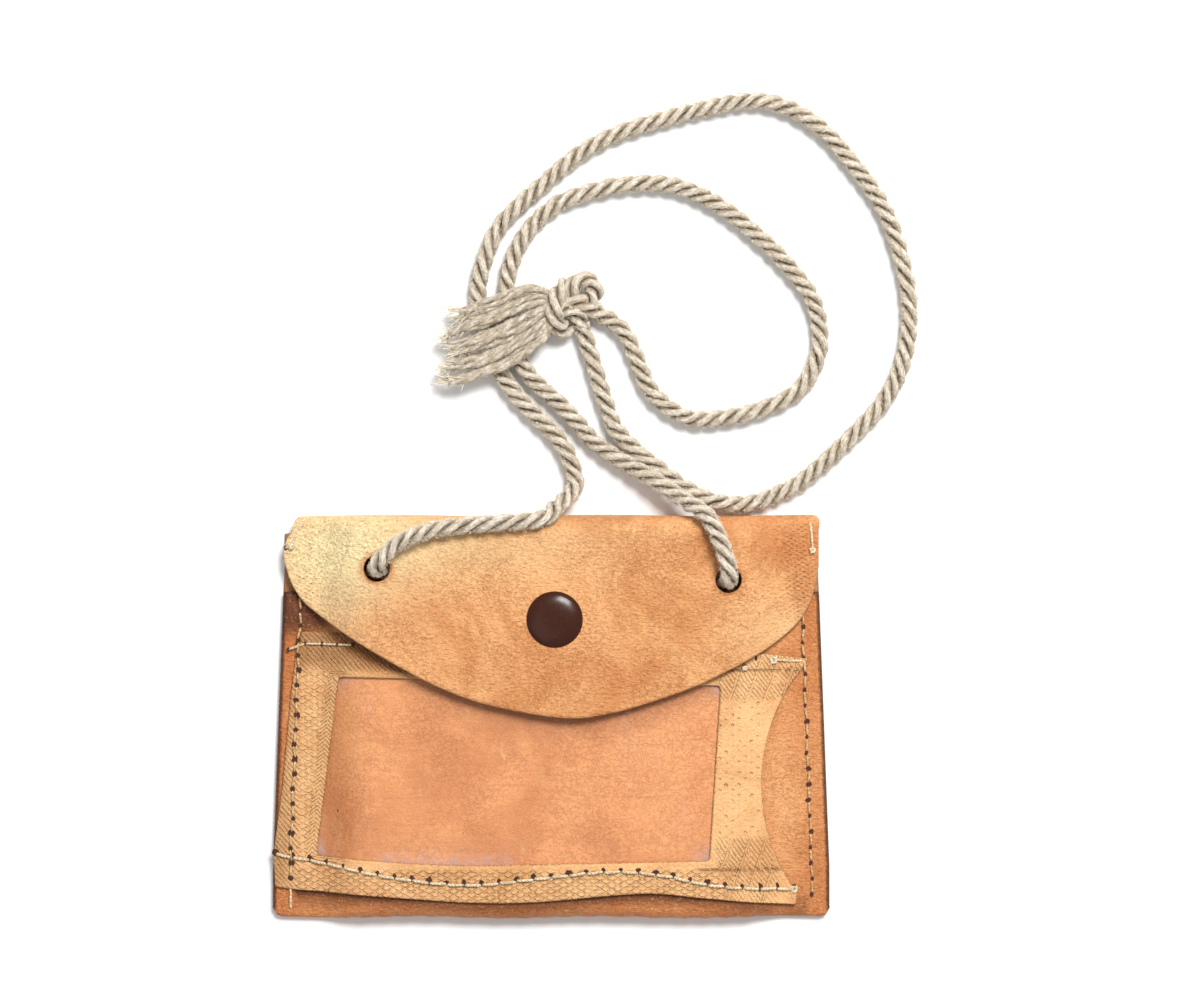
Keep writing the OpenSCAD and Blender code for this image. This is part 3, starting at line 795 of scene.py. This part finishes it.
def yarn(shape, path, radius, sides=12):
    """A soft single yarn, lightly twisted and a little uneven."""
    _, n, b = carried_frames(path)
    s = run_along(path)
    a = full_turn(sides)
    lobes = 1 + 0.13 * np.cos(2 * (a[None, :] + (2 * math.pi * s / (9 * MM))[:, None]))
    wander = 1 + 0.12 * np.sin(s / (3.7 * MM) + rng.uniform(0, 6)) - 0.25 * (s / s[-1]) ** 4
    v = path[:, None] + rings(n, b, a) * (radius * lobes * wander[:, None])[:, :, None]
    along = np.broadcast_to(s[:, None], lobes.shape)
    side = np.ones(len(path))[:, None] * radius
    shape.add(v.reshape(-1, 3), tube_faces(len(path), sides), 0, out=(lobes * 0.78).reshape(-1),
              along=along.reshape(-1), side_a=(side * np.cos(a) + rng.uniform(0, 0.05)).reshape(-1),
              side_b=(side * np.sin(a)).reshape(-1))


knot = make_knot()
tassel = make_tassel()
left_cord, left_path = make_cord("cord_from_left_hole", LEFT_ROUTE, "cord_left")
right_cord, right_path = make_cord("cord_from_right_hole", RIGHT_ROUTE, "cord_right")
crossing, crossing_path = make_cord("cord_behind_flap", CROSSING_ROUTE, "cord_crossing")
for cord_piece in (left_cord, right_cord):
    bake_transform(cord_piece)
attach(crossing, FLAP)


# ---------------------------------------------------------------- the hide

FLAP_EDGE = np.array([
    (-69.8, 37.5), (-67.5, 33), (-64, 29), (-54, 22), (-40, 13.5), (-27, 7), (-13.5, 2.7), (4, 0),
    (16, 1.3), (29, 5), (40, 9.2), (50, 14.2), (58.3, 19), (65, 24.5), (68.6, 30), (70.2, 36), (71, 40)]) * MM
PANEL_EDGE = {
    "left": [(-66.5, 22.6), (-68, 17), (-69.5, 4), (-71.5, -18), (-73.5, -33), (-74, -38), (-73.5, -45.3)],
    "bottom": [(-67, -46.2), (-54, -47), (-40, -48), (-21, -49.2), (-3, -49), (24, -46.8), (40, -48),
               (56, -49.4), (65, -50)],
    "top": [(68.5, 15.4), (55, 17), (30, 18), (0, 19.4), (-30, 21), (-60, 22.4)],
}
MOUTH_R = 49.5 * MM
MOUTH = (56 * MM + MOUTH_R, -18 * MM)
WINDOW = [(-62.5, -37), (-28, -39.6), (42, -38.2), (45, 8.3), (-56.5, 10.6)]
WINDOW_R = [1.6, 30, 1.4, 1.2, 1.6]


def across(half, count):
    """Evenly spaced places across the pouch."""
    return np.linspace(-1, 1, count) * half


def blob(x, y, cx, cy, rx, ry):
    """A soft round patch, 1 at its centre; the centre and radii are in millimetres."""
    return np.exp(-((x - cx * MM) / (rx * MM)) ** 2 - ((y - cy * MM) / (ry * MM)) ** 2)


def make_body():
    """One folded piece: back panel, bottom fold and front panel."""
    cols, back_n, arc_n, front_n = 120, 60, 22, 90
    back_top = HINGE[1] + 4.5 * MM
    rows = []
    half_t = HIDE_T / 2
    for i in range(back_n):
        y = back_top + (BODY_LOW + 5 * MM - back_top) * i / (back_n - 1)
        x = across(float(half_w(y)), cols)
        rows.append(np.stack([x, np.full(cols, y), np.full(cols, half_t)], 1))
    join_y = BODY_LOW + 5 * MM
    x = across(float(half_w(join_y)), cols)
    top = front_z(x, join_y)
    r = np.maximum((top - HIDE_T) / 2, 0.1 * MM)
    u = np.clip((np.abs(x) - HALF_LOW + 2.5 * MM) / (2.5 * MM), 0, 1)
    cut = 2 * MM * (1 - np.sqrt(1 - u * u))
    outer = BODY_LOW + cut + 0.25 * MM * np.sin(x * 130) * (1 - u)
    for i in range(1, arc_n):
        a = math.pi * i / arc_n
        cy = outer + half_t + r
        y = np.minimum(cy, join_y) - r * math.sin(a)
        z = half_t + r - r * math.cos(a)
        crease = 0.12 * MM * np.sin(x * 900 + 2 * np.sin(x * 140)) * math.sin(a) ** 2 * swell(x)
        rows.append(np.stack([x, y + crease, z], 1))
    for i in range(front_n):
        y = join_y + (FRONT_EDGE_Y - join_y) * i / (front_n - 1)
        x = across(float(half_w(y)), cols)
        rows.append(np.stack([x, np.full(cols, y), front_z(x, y) - half_t], 1))
    mid = np.stack(rows)
    x, y, z = mid[..., 0], mid[..., 1], mid[..., 2]
    on_front = np.zeros(mid.shape[:2])
    on_front[back_n + arc_n - 1:] = 1
    pane = on_front * smooth_step((x + 66 * MM) / (3 * MM)) * smooth_step((49 * MM - x) / (3 * MM))
    pane = pane * smooth_step((y + 43 * MM) / (3 * MM)) * smooth_step((15 * MM - y) / (3 * MM))
    side = smooth_step((np.abs(x) - 60 * MM) / (9 * MM))
    red = 0.55 * side * (x < 0) + 0.30 * side * (x > 0)
    roll = 0.7 * smooth_step((-42 * MM - y) / (6 * MM))
    red = np.clip(np.maximum(red + 0.3, roll) + 0.7 * blob(x, y, -70, 30, 7, 9) * on_front, 0, 1)
    red = red * (1 - 0.5 * blob(x, y, 64, -24, 5, 10))
    # painted shadow of the flap on the front panel's upper left
    dark = on_front * smooth_step((y - 19 * MM) / (6 * MM)) * smooth_step((-56 * MM - x) / (6 * MM))
    # painted shadow under the window panel's lower edge, on the bottom roll
    low_edge = smooth(np.array(PANEL_EDGE["bottom"]) * MM, 6)
    below = np.interp(x, low_edge[:, 0], low_edge[:, 1]) - y
    under = np.exp(-((below - 0.6 * MM) / (1.9 * MM)) ** 2) * (np.abs(x) < 68 * MM) * (z > HIDE_T)
    dark = np.maximum(dark, under)
    # painted shade: the flap's shadow below its edge, and a darkening towards the window's left
    flap_line = smooth(FLAP_EDGE, 6)
    from_flap = np.interp(x, flap_line[:, 0], flap_line[:, 1]) - y
    flap_shadow = np.exp(-(np.maximum(from_flap, 0) / (5 * MM)) ** 2)
    dim = 0.45 * smooth_step((-44 * MM - x) / (18 * MM)) + 0.75 * flap_shadow
    dim = np.clip(dim, 0, 1)
    shape = Shape()
    leather(shape, mid, HIDE_T, pane=pane, red=red, gold=0.0, dark=dark, dim=dim, stipple=0.0)
    obj = shape.build("hide_body", HIDE)
    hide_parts("back_panel", "bottom_fold", "front_panel")
    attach(obj, POUCH)


def make_flap():
    """The top fold and the flap, one piece that curves over at the top fold."""
    edge = smooth(FLAP_EDGE, 8)
    cols = len(edge)
    half_t = HIDE_T / 2
    u = (edge[:, 0] - edge[0, 0]) / (edge[-1, 0] - edge[0, 0]) * 2 - 1
    top_x = u * HALF_HIGH
    level = FLAP_SIDE_TOP + (FLAP_TOP - FLAP_SIDE_TOP) * swell(top_x)
    r = (level - HIDE_T) / 2
    corner = np.clip((np.abs(top_x) - HALF_HIGH + 1.6 * MM) / (1.6 * MM), 0, 1)
    outer = BODY_HIGH - 1.4 * MM * (1 - np.sqrt(1 - corner * corner)) + 0.2 * MM * np.sin(top_x * 110)
    rows = []
    start_y = HINGE[1] + 3.8 * MM

    def narrowed(y):
        """The left end of the fold slants inwards to its top."""
        slant = 3.2 * MM * smooth_step((y - HINGE[1]) / (9 * MM))
        return top_x + slant * smooth_step((-50 * MM - top_x) / (20 * MM))

    for i in range(4):
        y = start_y + (np.maximum(outer - half_t - r, start_y) - start_y) * i / 4
        rows.append(np.stack([narrowed(y), y, np.full(cols, half_t)], 1))
    arc_n = 22
    for i in range(arc_n + 1):
        a = math.pi * i / arc_n
        cy = np.maximum(outer - half_t - r, start_y)
        y = cy + r * math.sin(a)
        rows.append(np.stack([narrowed(y), y, half_t + r - r * math.cos(a)], 1))
    fold_n = 10
    top_y = rows[-1][:, 1]
    for i in range(1, fold_n + 1):
        y = top_y + (HINGE[1] - 2 * MM - top_y) * i / fold_n
        rows.append(np.stack([narrowed(y), y, flap_z(top_x, y, edge[:, 1]) - half_t], 1))
    flap_n = 70
    from_y = HINGE[1] - 2 * MM
    for i in range(1, flap_n + 1):
        t = i / flap_n
        y = from_y + (edge[:, 1] - from_y) * t
        x = top_x + (edge[:, 0] - top_x) * smooth_step(t)
        rows.append(np.stack([x, y, flap_z(x, y, edge[:, 1]) - half_t], 1))
    mid = np.stack(rows)
    x, y = mid[..., 0], mid[..., 1]
    # golden tone, partly painted light: brighter on the flap's top and upper left, and at its right
    gold = np.clip(0.85 * blob(x, y, -58, 46, 26, 12) + 0.5 * blob(x, y, -58, 30, 14, 12)
                   + 0.3 * blob(x, y, -20, 46, 40, 8)
                   + 0.3 * blob(x, y, 62, 22, 14, 9), 0, 1)
    red = np.clip(0.35 * blob(x, y, 8, 15, 26, 8) + 0.3 * blob(x, y, -45, 22, 12, 8)
                  + 0.35 * blob(x, y, 62, 48, 10, 8) + 0.3 * blob(x, y, 30, 44, 16, 5), 0, 1)
    ends = blob(x, y, 66, 38, 4, 13) + 0.5 * blob(x, y, -65, 36, 3, 14) + 0.7 * blob(x, y, 45, 16, 7, 1.6)
    for hole in (LEFT_HOLE, RIGHT_HOLE):
        away = np.hypot(x - hole[0], y - hole[1])
        red = np.maximum(red, 0.9 * smooth_step((5.2 * MM - away) / (2 * MM)))
    shape = Shape()
    leather(shape, mid[:, ::-1], HIDE_T, raw=(False, True, True, True), wear=0.4, red=red[:, ::-1],
            gold=gold[:, ::-1], pane=0.0, dark=0.0, dim=0.0, stipple=ends[:, ::-1])
    obj = shape.build("hide_flap", HIDE)
    punch(obj)
    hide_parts("top_fold", "flap")
    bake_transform(obj)


def punch(obj):
    """Cuts the two round cord holes through the flap."""
    for hole in (LEFT_HOLE, RIGHT_HOLE):
        bpy.ops.mesh.primitive_cylinder_add(vertices=40, radius=HOLE_R, depth=8 * MM,
                                            location=(*hole, FLAP_TOP))
        cutter = bpy.context.object
        cut = obj.modifiers.new("hole", "BOOLEAN")
        cut.operation = "DIFFERENCE"
        cut.solver = "EXACT"
        cut.object = cutter
        bpy.context.view_layer.objects.active = obj
        bpy.ops.object.modifier_apply(modifier=cut.name)
        bpy.data.objects.remove(cutter)


make_body()
make_flap()


# ---------------------------------------------------------------- the window panel and film

def arc_points(centre, radius, a0, a1, count):
    """Points along an arc from angle a0 to a1."""
    a = np.linspace(a0, a1, count)
    return np.stack([centre[0] + radius * np.cos(a), centre[1] + radius * np.sin(a)], 1)


def rounded(corners, radii, count=8):
    """A closed outline with its corners rounded."""
    out = []
    n = len(corners)
    for i in range(n):
        p, before, after = (np.array(corners[j % n], float) for j in (i, i - 1, i + 1))
        a = (before - p) / np.linalg.norm(before - p)
        b = (after - p) / np.linalg.norm(after - p)
        reach = min(radii[i], 0.45 * np.linalg.norm(before - p), 0.45 * np.linalg.norm(after - p))
        for t in np.linspace(0, 1, count):
            out.append((1 - t) ** 2 * (p + a * reach) + 2 * t * (1 - t) * p + t * t * (p + b * reach))
    return np.array(out) * MM


def by_angle(loop, centre, angles):
    """The outline's points in these directions from the centre."""
    closed = np.concatenate([loop, loop[:1]])
    dense = even(closed, 0.2 * MM)
    turn = np.unwrap(np.arctan2(dense[:, 1] - centre[1], dense[:, 0] - centre[0]))
    if turn[-1] < turn[0]:
        turn, dense = turn[::-1], dense[::-1]
    want = turn[0] + np.mod(angles - turn[0], 2 * math.pi)
    return np.stack([np.interp(want, turn, dense[:, k]) for k in range(2)], 1)


def panel_outline():
    """The window panel's outer edge, with its round mouth on the right."""
    left = np.array(PANEL_EDGE["left"]) * MM
    bottom = smooth(np.array(PANEL_EDGE["bottom"]) * MM, 6)
    top = np.array(PANEL_EDGE["top"]) * MM
    low = math.atan2(bottom[-1][1] - MOUTH[1], bottom[-1][0] - MOUTH[0])
    high = math.atan2(top[0][1] - MOUTH[1], top[0][0] - MOUTH[0])
    mouth = arc_points(MOUTH, MOUTH_R, low % (2 * math.pi), high % (2 * math.pi), 40)
    return np.concatenate([left, bottom, mouth[1:-1], top])


def two_faces(x, y, top, low):
    """The points of a sheet's upper face, and then those of its lower face."""
    return np.concatenate([np.stack([x, y, z], 2).reshape(-1, 3) for z in (top, low)])


def make_window_panel():
    """The embossed panel: a ring of leather round the window, hollowed on its right."""
    outer_loop = panel_outline()
    inner_loop = rounded(WINDOW, WINDOW_R)
    centre = np.array([-6, -14]) * MM
    corners = np.concatenate([outer_loop, inner_loop])
    own = np.arctan2(corners[:, 1] - centre[1], corners[:, 0] - centre[0])
    even_turns = np.linspace(-math.pi, math.pi, 520, endpoint=False)
    angles = np.unique(np.round(np.concatenate([even_turns, own]), 4))
    inner = by_angle(inner_loop, centre, angles)
    outer = by_angle(outer_loop, centre, angles)
    rings = 40
    share = np.linspace(0, 1, rings)
    share = 0.5 - 0.5 * np.cos(share * math.pi)
    flat = inner[None] + (outer - inner)[None] * share[:, None, None]
    x, y = flat[..., 0], flat[..., 1]
    width = np.linalg.norm(outer - inner, axis=1)[None]
    to_in = share[:, None] * width
    to_out = (1 - share[:, None]) * width
    near = np.minimum(to_in, to_out)
    edge = np.exp(-near / (0.3 * MM))
    curl = 0.35 * MM * np.exp(-to_out / (3 * MM)) * smooth_step((x - 52 * MM) / (6 * MM))
    curl = curl + 0.3 * MM * np.exp(-to_out / (2.5 * MM)) * smooth_step((-44 * MM - y) / (2 * MM))
    low = front_z(x, y) + 0.12 * MM + curl
    top = low + (PANEL_T - 0.12 * MM) - 0.3 * MM * edge
    low = low + 0.2 * MM * edge
    n = flat.shape[0] * flat.shape[1]
    verts = two_faces(x, y, top, low)
    cols = len(angles)
    faces = grid_faces(rings, cols, wrap=True)
    faces = [f[::-1] for f in faces] + grid_faces(rings, cols, wrap=True, offset=n)
    for c in range(cols):
        d = (c + 1) % cols
        last = (rings - 1) * cols
        faces.append([c, d, n + d, n + c])
        faces.append([last + d, last + c, n + last + c, n + last + d])
    band_low = smooth_step((-40.2 * MM - y) / (1.5 * MM)) * smooth_step((50 * MM - x) / (6 * MM))
    chevron = smooth_step((3.4 * MM - to_in) / (0.5 * MM)) * smooth_step((-54 * MM - x) / (2 * MM))
    strip = smooth_step((-66.5 * MM - x) / (1.5 * MM))
    strip = strip + smooth_step((y - 11.5 * MM) / (1.5 * MM)) * (x < 44 * MM)
    strip = np.clip(strip, 0, 1) * (1 - chevron)
    right = smooth_step((x - 43 * MM) / (2 * MM))
    hatch = smooth_step((y - 3 * MM) / (4 * MM)) + smooth_step((-31 * MM - y) / (3 * MM))
    hatch = right * np.clip(hatch, 0, 1)
    net = np.clip(band_low + 0.6 * smooth_step((-58 * MM - x) / (2 * MM)), 0, 1) * (1 - strip) * (1 - chevron)
    net = net * (1 - hatch * (y > -41 * MM))
    hatch = hatch * (1 - net) * (1 - 0.85 * smooth_step((x - 56 * MM) / (6 * MM)) * (y < 0))
    dimples = right * (1 - hatch) * (1 - net) * smooth_step((58 * MM - x) / (3 * MM))
    low_line = np.exp(-((y + 40.6 * MM) / (0.28 * MM)) ** 2) * smooth_step((x - 38 * MM) / (2 * MM))
    high_line = np.exp(-((y - 12.4 * MM - 0.02 * (50 * MM - x)) / (0.28 * MM)) ** 2)
    line = low_line + high_line * smooth_step((x - 44 * MM) / MM)
    flap_line = smooth(FLAP_EDGE, 6)
    under_flap = np.interp(x, flap_line[:, 0], flap_line[:, 1]) - y
    beside = np.exp(-(np.maximum(under_flap, 0) / (3.6 * MM)) ** 2) * smooth_step((-30 * MM - x) / (14 * MM))
    top_band = smooth_step((y - 10 * MM) / (6 * MM)) * smooth_step((-20 * MM - x) / (20 * MM))
    shade = beside + 0.6 * top_band + 0.35 * smooth_step((-66 * MM - x) / (6 * MM))
    shade = np.clip(shade, 0, 1)
    rim = np.exp(-near / (0.5 * MM))
    shape = Shape()
    twice = {k: np.concatenate([v.reshape(-1)] * 2) for k, v in
             {"net": net, "chevron": chevron, "strip": strip, "hatch": hatch, "dimples": dimples,
              "line": line,
              "to_pane": np.broadcast_to(to_in, x.shape), "shade": shade, "rim": rim}.items()}
    shape.add(verts, faces, 0, back=np.concatenate([np.zeros(n), np.ones(n)]), **twice)
    obj = shape.build("embossed_window_panel", EMBOSSED)
    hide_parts("window_panel")
    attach(obj, POUCH)


def make_film():
    """The film lies under the panel all round its window."""
    x = np.linspace(-65, 47.5, 90) * MM
    y = np.linspace(-41.5, 12.5, 50) * MM
    gx, gy = np.meshgrid(x, y)
    low = front_z(gx, gy) + 0.03 * MM
    n = gx.size
    top = low + 0.06 * MM
    verts = two_faces(gx, gy, top, low)
    faces = grid_faces(50, 90) + [f[::-1] for f in grid_faces(50, 90, offset=n)]
    inside = rounded(WINDOW, WINDOW_R)
    pts = np.stack([gx.reshape(-1), gy.reshape(-1)], 1)
    away = np.sqrt(((pts[:, None] - inside[None]) ** 2).sum(2)).min(1)
    rim = np.exp(-away / (1.2 * MM))
    shape = Shape()
    shape.add(verts, faces, 0, rim=np.concatenate([rim, rim]))
    obj = shape.build("clear_window_film", FILM)
    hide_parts("window_film")
    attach(obj, POUCH)


make_window_panel()
make_film()


# ---------------------------------------------------------------- stitches

def stitch(shape, a, b, height, r=0.3 * MM):
    """One stitch: it rises out of its hole, lies along the leather and dives again."""
    run = b - a
    points = [a + (0, 0, -0.7 * MM), a + run * 0.04 + (0, 0, 0.1 * MM), a + run * 0.25 + (0, 0, height),
              a + run * 0.5 + (0, 0, height * 1.1), a + run * 0.75 + (0, 0, height),
              b - run * 0.04 + (0, 0, 0.1 * MM), b + (0, 0, -0.7 * MM)]
    path = even(smooth(points, 5), 0.3 * MM)
    s = np.linspace(0, 1, len(path))
    for k in range(2):
        turn = s * line_length(path) / (1.7 * MM) * 2 * math.pi + math.pi * k
        _, n, c = carried_frames(path)
        ply = path + (np.cos(turn)[:, None] * n + np.sin(turn)[:, None] * c) * r * 0.42
        tube(shape, ply, r * 0.66, 7, 0, out=1.0)


HOLE_SIDES = 12


def needle_hole(shape, p, r=0.6 * MM):
    """A pricked hole drawn as a dark disc of painted shade, a little longer than wide."""
    a = full_turn(HOLE_SIDES)
    ragged = rng.uniform(0.78, 1.12, HOLE_SIDES)
    wide, tall = rng.uniform(0.75, 1.05), rng.uniform(0.85, 1.25)
    x, y = r * wide * ragged * np.cos(a), r * tall * ragged * np.sin(a)
    ring = np.stack([p[0] + x, p[1] + y, np.full(HOLE_SIDES, p[2] + 0.14 * MM)], 1)
    low = np.stack([p[0] + x / 2, p[1] + y / 2, np.full(HOLE_SIDES, p[2] + 0.10 * MM)], 1)
    faces = grid_faces(2, HOLE_SIDES, wrap=True) + [[HOLE_SIDES + i for i in range(HOLE_SIDES)]]
    shape.add(np.concatenate([ring, low]), faces, 1, out=0.0)


def stitched(name, places, node, thread, gap, r, height, hole_shift=(0, 0, 0), hole_r=0.6 * MM):
    """A row of stitches through these places, given as x, y and the surface's height."""
    shape = Shape()
    for i in range(len(places) - 1):
        a, b = np.array(places[i]), np.array(places[i + 1])
        unit = (b - a) / np.linalg.norm(b - a)
        sway = np.array([-unit[1], unit[0], 0]) * rng.uniform(-0.16, 0.16) * MM
        stitch(shape, a + unit * gap + sway, b - unit * gap - sway, height, r)
    for p in places:
        needle_hole(shape, np.array(p) + hole_shift, hole_r * rng.uniform(0.8, 1.2))
    obj = shape.build(name, thread, HOLE_SHADE)
    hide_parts(node)
    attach(obj, POUCH)
    return obj


def above_front(x, y, up):
    """A point this far above the front panel's outer face."""
    return np.array([x, y, float(front_z(x, y)) + up])


def seam_places(side, y_low, y_high, pitch):
    """The holes of a side seam, on the window panel where it covers the seam."""
    out = []
    n = int(round((y_high - y_low) / pitch))
    for i in range(n + 1):
        y = y_low + (y_high - y_low) * i / n
        x = side * (float(half_w(y)) - 4.6 * MM) + 0.25 * MM * math.sin(i * 1.9)
        on_panel = (side < 0 and y < 22 * MM) or (side > 0 and 12 * MM < y < 15.5 * MM)
        out.append(above_front(x, y, PANEL_T if on_panel and y > -46 * MM else 0))
    return out


WAVE = smooth(np.array([
    (-73.4, -36.7), (-69.5, -37.4), (-56, -39.8), (-42, -42.6), (-22, -44.6),
    (-4, -42.9), (14, -41.1), (28, -41.7), (44, -44.8), (64.6, -46)]) * MM, 8)


def wave_places():
    """The wavy lower seam's holes, evenly spaced on the window panel."""
    return [above_front(x, y, PANEL_T) for x, y in even(WAVE, 4.6 * MM)]


SEAM_STYLE = {"thread": OLD_THREAD, "gap": 0.7 * MM, "r": 0.32 * MM, "height": 0.45 * MM}
stitched("left_seam_stitches", seam_places(-1, -43 * MM, 32 * MM, 4 * MM), "left_seam_thread",
         hole_r=0.8 * MM, **SEAM_STYLE)
stitched("right_seam_stitches", seam_places(1, -47.5 * MM, 28 * MM, 4.1 * MM), "right_seam_thread",
         hole_r=0.66 * MM, **SEAM_STYLE)
stitched("window_bottom_stitches", wave_places(), "window_bottom_thread", THREAD, gap=0.3 * MM,
         r=0.42 * MM, height=0.5 * MM, hole_shift=(0, 0.5 * MM, 0), hole_r=0.85 * MM)


SEAM_END_Y = (-44 * MM, -47.6 * MM, -51 * MM)


def make_end_knot():
    """The tied end of the panel's lower row, and the pale stitches that end the left seam."""
    shape = Shape()
    x, y = 64.6 * MM, -46 * MM
    thread_knot(shape, above_front(x, y, PANEL_T + 0.4 * MM), 0.8 * MM)
    seam_end = [above_front(-69.4 * MM, y, 0.35 * MM) for y in SEAM_END_Y]
    for a, b in zip(seam_end, seam_end[1:]):
        stitch(shape, a, b, 0.3 * MM, 0.34 * MM)
    obj = shape.build("window_bottom_knot", THREAD)
    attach(obj, POUCH)


def make_top_stitches():
    """The panel's upper row: two seen runs, two open holes, a knot and a tuft."""
    shape = Shape()
    left = [(-70 * MM, 17.8 * MM), (-65.5 * MM, 19.4 * MM), (-61 * MM, 19.3 * MM), (-56.8 * MM, 19.2 * MM),
            (-52.5 * MM, 19.2 * MM)]
    right = [(59 * MM, 15.2 * MM), (63.4 * MM, 14.8 * MM), (67.3 * MM, 14.8 * MM)]
    for row in (left, right):
        places = [above_front(x, y, PANEL_T) for x, y in row]
        for a, b in zip(places, places[1:]):
            stitch(shape, a + (b - a) * 0.07, b - (b - a) * 0.07, 0.34 * MM)
        for p in places:
            needle_hole(shape, p)
    for x, y in ((54.3, 15.6), (51.4, 13.4)):
        needle_hole(shape, above_front(x * MM, y * MM, PANEL_T))
    thread_knot(shape, above_front(59 * MM, 15 * MM, PANEL_T + 0.4 * MM) + (0.1 * MM, 0, 0))
    thread_knot(shape, above_front(51.4 * MM, 13 * MM, PANEL_T + 0.3 * MM), 0.5 * MM)
    obj = shape.build("window_top_stitches", THREAD, HOLE_SHADE)
    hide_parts("window_top_thread")
    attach(obj, POUCH)


def thread_knot(shape, p, size=0.9 * MM):
    """A small tied-off knot with two frayed ends."""
    a = np.linspace(0, 4 * math.pi, 28)
    coil = np.stack([p[0] + size * np.cos(a) * (1 - a / 40),
                     p[1] + size * 0.8 * np.sin(a),
                     p[2] + 0.25 * MM * np.sin(a * 1.5)], 1)
    tube(shape, coil, 0.34 * MM, 7, 0, out=1.0)
    for turn in (0.6, 2.4, 3.9):
        tail = np.array([p, p + (size * math.cos(turn), size * math.sin(turn), 0.2 * MM),
                         p + (1.7 * size * math.cos(turn + 0.4), 1.7 * size * math.sin(turn + 0.4), 0)])
        tube(shape, even(smooth(tail, 5), 0.3 * MM), 0.2 * MM, 6, 0, out=1.0)


def make_pin_marks():
    """Two old pin pricks in the leather behind the window."""
    shape = Shape()
    for x, y in ((-56.7 * MM, 7 * MM), (-56.5 * MM, -25 * MM)):
        needle_hole(shape, above_front(x, y, -0.08 * MM), 0.4 * MM)
    obj = shape.build("pin_marks", HOLE_SHADE, HOLE_SHADE)
    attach(obj, POUCH)


make_top_stitches()
make_end_knot()
make_pin_marks()


def make_tack(node, places, knot_at):
    """Long stitches that sew the flap's root to the back, with their knot."""
    shape = Shape()
    rise = FLAP_SIDE_TOP + 0.1 * MM
    drops = [-0.9 * MM] + [0.0] * (len(places) - 1)
    points = [np.array([x * MM, y * MM, rise + drop]) for (x, y), drop in zip(places, drops)]
    for a, b in zip(points, points[1:]):
        stitch(shape, a, b, 0.34 * MM, 0.34 * MM)
    thread_knot(shape, np.array([knot_at[0] * MM, knot_at[1] * MM, rise + 0.3 * MM]), 0.6 * MM)
    needle_hole(shape, points[-1])
    obj = shape.build(node + "_stitch", THREAD, HOLE_SHADE)
    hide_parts(node)
    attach(obj, POUCH)


make_tack("left_tack_thread", [(-65.6, 52.6), (-67.3, 49.4), (-69, 45.4), (-70.6, 44.9)], (-69, 45.2))
make_tack("right_tack_thread", [(68.8, 52.4), (69.3, 48.2), (69.5, 44.2)], (69.5, 44.2))


# ---------------------------------------------------------------- the snap

def finish_metal(node, material):
    """A material and slightly softened edges for a metal part of the CAD."""
    obj = frame["nodes"][node]
    obj.data.materials.clear()
    obj.data.materials.append(material)
    for p in obj.data.polygons:
        p.material_index = 0
        p.use_smooth = True
    soften = obj.modifiers.new("soft_edge", "BEVEL")
    soften.width = 0.12 * MM
    soften.segments = 2
    soften.limit_method = "ANGLE"
    tidy = obj.modifiers.new("even_shading", "WEIGHTED_NORMAL")
    tidy.keep_sharp = True


CAP_PROFILE = [(0, 1.75), (2.6, 1.68), (4.7, 1.42), (6.2, 1.0), (7.1, 0.5), (7.45, 0.12), (7.4, 0)]


def make_cap():
    """The snap's domed cap and its barrel, which passes through the flap."""
    shape = Shape()
    profile = smooth(np.array(CAP_PROFILE) * MM, 6)
    barrel = [(2.2, 0), (2.2, -1.2), (1.6, -1.2), (1.6, 0)]
    profile = np.concatenate([profile, np.array(barrel) * MM])
    count = 96
    a = full_turn(count)
    rings = [np.stack([SNAP.x + r * np.cos(a), SNAP.y + r * np.sin(a), np.full(count, FLAP_TOP + h)], 1)
             for r, h in profile[1:]]
    verts = np.concatenate([[(SNAP.x, SNAP.y, FLAP_TOP + profile[0][1])]] + rings)
    faces = [[0, 1 + k, 1 + (k + 1) % count] for k in range(count)]
    faces += [f[::-1] for f in grid_faces(len(rings), count, wrap=True, offset=1)]
    shape.add(verts, faces)
    obj = shape.build("snap_cap_dome", CAP_METAL)
    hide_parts("snap_cap")
    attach(obj, FLAP)


make_cap()
for metal_node in ("snap_socket", "snap_stud", "snap_post"):
    finish_metal(metal_node, CAP_METAL)
finish_metal("snap_socket_spring", STEEL)


# ---------------------------------------------------------------- floor and light

FLOOR_REACH = 1.6


def make_floor():
    shape = Shape()
    corners = [(-1, -1), (1, -1), (1, 1), (-1, 1)]
    shape.add([(FLOOR_REACH * x, FLOOR_REACH * y, 0) for x, y in corners], [[0, 1, 2, 3]])
    floor = shape.build("floor", floor_material())
    floor.location = (0, 0, -0.05 * MM)


def area_light(name, place, aim, size, watts):
    data = bpy.data.lights.new(name, "AREA")
    data.size = size
    data.energy = watts
    lamp = bpy.data.objects.new(name, data)
    lamp.location = place
    direction = np.array(aim, float) - np.array(place, float)
    lamp.rotation_euler = Vector(direction).to_track_quat("-Z", "Y").to_euler()
    bpy.context.scene.collection.objects.link(lamp)


make_floor()
middle = (0, 40 * MM, 0)
area_light("key", (0.32, 0.66, 1.05), middle, 0.42, 17)
area_light("fill", (-0.5, -0.4, 1.2), middle, 1.0, 1.5)
world = bpy.data.worlds.new("studio")
bpy.context.scene.world = world
world.use_nodes = True
world.node_tree.nodes["Background"].inputs["Color"].default_value = (1, 1, 1, 1)
world.node_tree.nodes["Background"].inputs["Strength"].default_value = 0.4
bpy.context.scene.view_settings.view_transform = "Standard"
